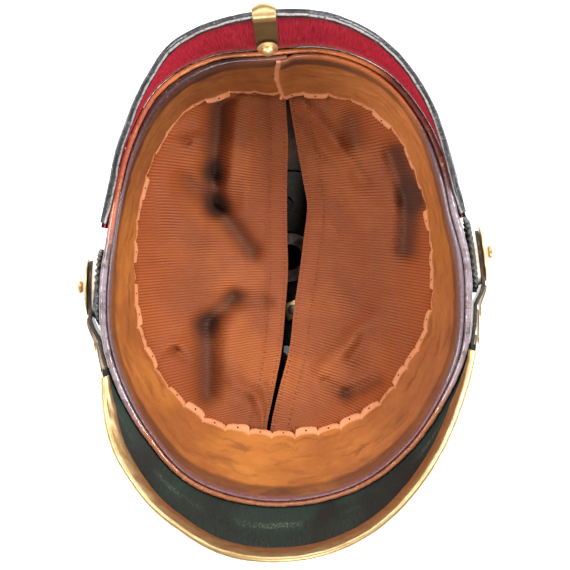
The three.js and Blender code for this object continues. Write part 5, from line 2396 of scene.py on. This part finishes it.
@dataclass
class Studio:
    """A pale floor, soft lights and the camera."""

    target: Triple = (0.0, 0.0, 0.147)
    eye: Triple = (0.02052, 0.08054, 1.447)
    right: Triple = (0.99671491, -0.08019378, -0.01132872)
    up: Triple = (0.07924648, 0.99453767, -0.06793239)
    lens_in_frames: float = 2669.4 / 570
    sensor: float = 36.0
    floor_size: float = 8.0
    floor_glow: float = 0.8
    fill: float = 0.14

    def camera(self) -> None:
        """Places the camera: straight above the hollow, a little turned."""
        data = bpy.data.cameras.new("camera")
        data.sensor_width = self.sensor
        data.lens = self.lens_in_frames * self.sensor
        data.clip_end = 50
        seen = bpy.data.objects.new("camera", data)
        bpy.context.scene.collection.objects.link(seen)
        right, up = Vector(self.right), Vector(self.up)
        back = right.cross(up)
        axes = Matrix((right, up, back)).transposed().to_4x4()
        seen.matrix_world = Matrix.Translation(self.eye) @ axes
        bpy.context.scene.camera = seen

    def light(self, name: str, place: Sequence[float], size: float, power: float) -> None:
        """Adds a large soft light that faces the helmet.

        Args:
            name: The light's name.
            place: Its place.
            size: Its width.
            power: Its watts.
        """
        data = bpy.data.lights.new(name, "AREA")
        data.shape = "DISK"
        data.size = size
        data.energy = power
        lamp = bpy.data.objects.new(name, data)
        bpy.context.scene.collection.objects.link(lamp)
        lamp.location = place
        lamp.rotation_euler = (Vector(self.target) - Vector(place)).to_track_quat("-Z", "Y").to_euler()

    def floor(self) -> None:
        """Lays the pale floor."""
        deselect_all()
        bpy.ops.mesh.primitive_plane_add(size=self.floor_size, location=(0, 0, -0.0002))
        bpy.ops.object.transform_apply(location=True)
        ground = take_name(bpy.context.object, "studio_floor")
        ground.data.materials.append(Recipe("pale_floor").finish(
            Base_Color=(0.93, 0.93, 0.93), Roughness=0.9, Emission_Color=(1.0, 1.0, 1.0),
            Emission_Strength=self.floor_glow))

    def world(self) -> None:
        """Fills the shadows with even white light."""
        sky = bpy.data.worlds.new("studio")
        sky.use_nodes = True
        back = sky.node_tree.nodes["Background"]
        back.inputs["Color"].default_value = (1, 1, 1, 1)
        back.inputs["Strength"].default_value = self.fill
        bpy.context.scene.world = sky

    def build(self) -> None:
        """Sets up the studio."""
        self.camera()
        self.floor()
        self.world()
        self.light("left_softbox", (-0.95, 0.25, 1.2), 0.5, 17)
        self.light("right_softbox", (0.95, 0.3, 1.2), 0.5, 26)
        self.light("front_softbox", (0.1, -0.95, 1.25), 0.5, 9)
        self.light("back_softbox", (-0.1, 0.95, 1.3), 0.6, 7)
        bpy.context.scene.view_settings.view_transform = "Standard"


def main() -> None:
    """Builds the helmet piece by piece."""
    logging.basicConfig(level=logging.INFO, format="%(message)s")
    Studio().build()
    Skull().build()
    peak = Flare(PEAK_EDGE, 1.05, Cover(leg=0.006, wall=0.0008))
    guard = Flare(GUARD_EDGE, 1.35, Cover(leg=0.0026, wall=0.0007))
    peak.build("front_peak_leather", "peak_leather", "front_peak", PEAK_PAINT)
    peak.build_cover("peak_trim_brass", "brass", "peak_trim", TRIM_BRASS)
    guard.build("neck_guard_leather", "guard_leather", "neck_guard", CRIMSON)
    guard.build_cover("guard_binding_leather", "binding_leather", "guard_binding", BINDING)
    welt = Welt()
    welt.build()
    Band(welt).build()
    for side in Side:
        Lining(side).build()
    Crown().build()
    base = Base()
    base.build()
    Spine(guard, base).build()
    right = SideFittings(Side.RIGHT, facing=3, standoff=0.0016, turn_from=7.6)
    left = SideFittings(Side.LEFT, facing=174.5, standoff=0.0012, turn_from=8.6, place=-0.0015)
    right.build()
    left.build()
    ChinStrap(right, left).build()


if __name__ == "__main__":
    main()
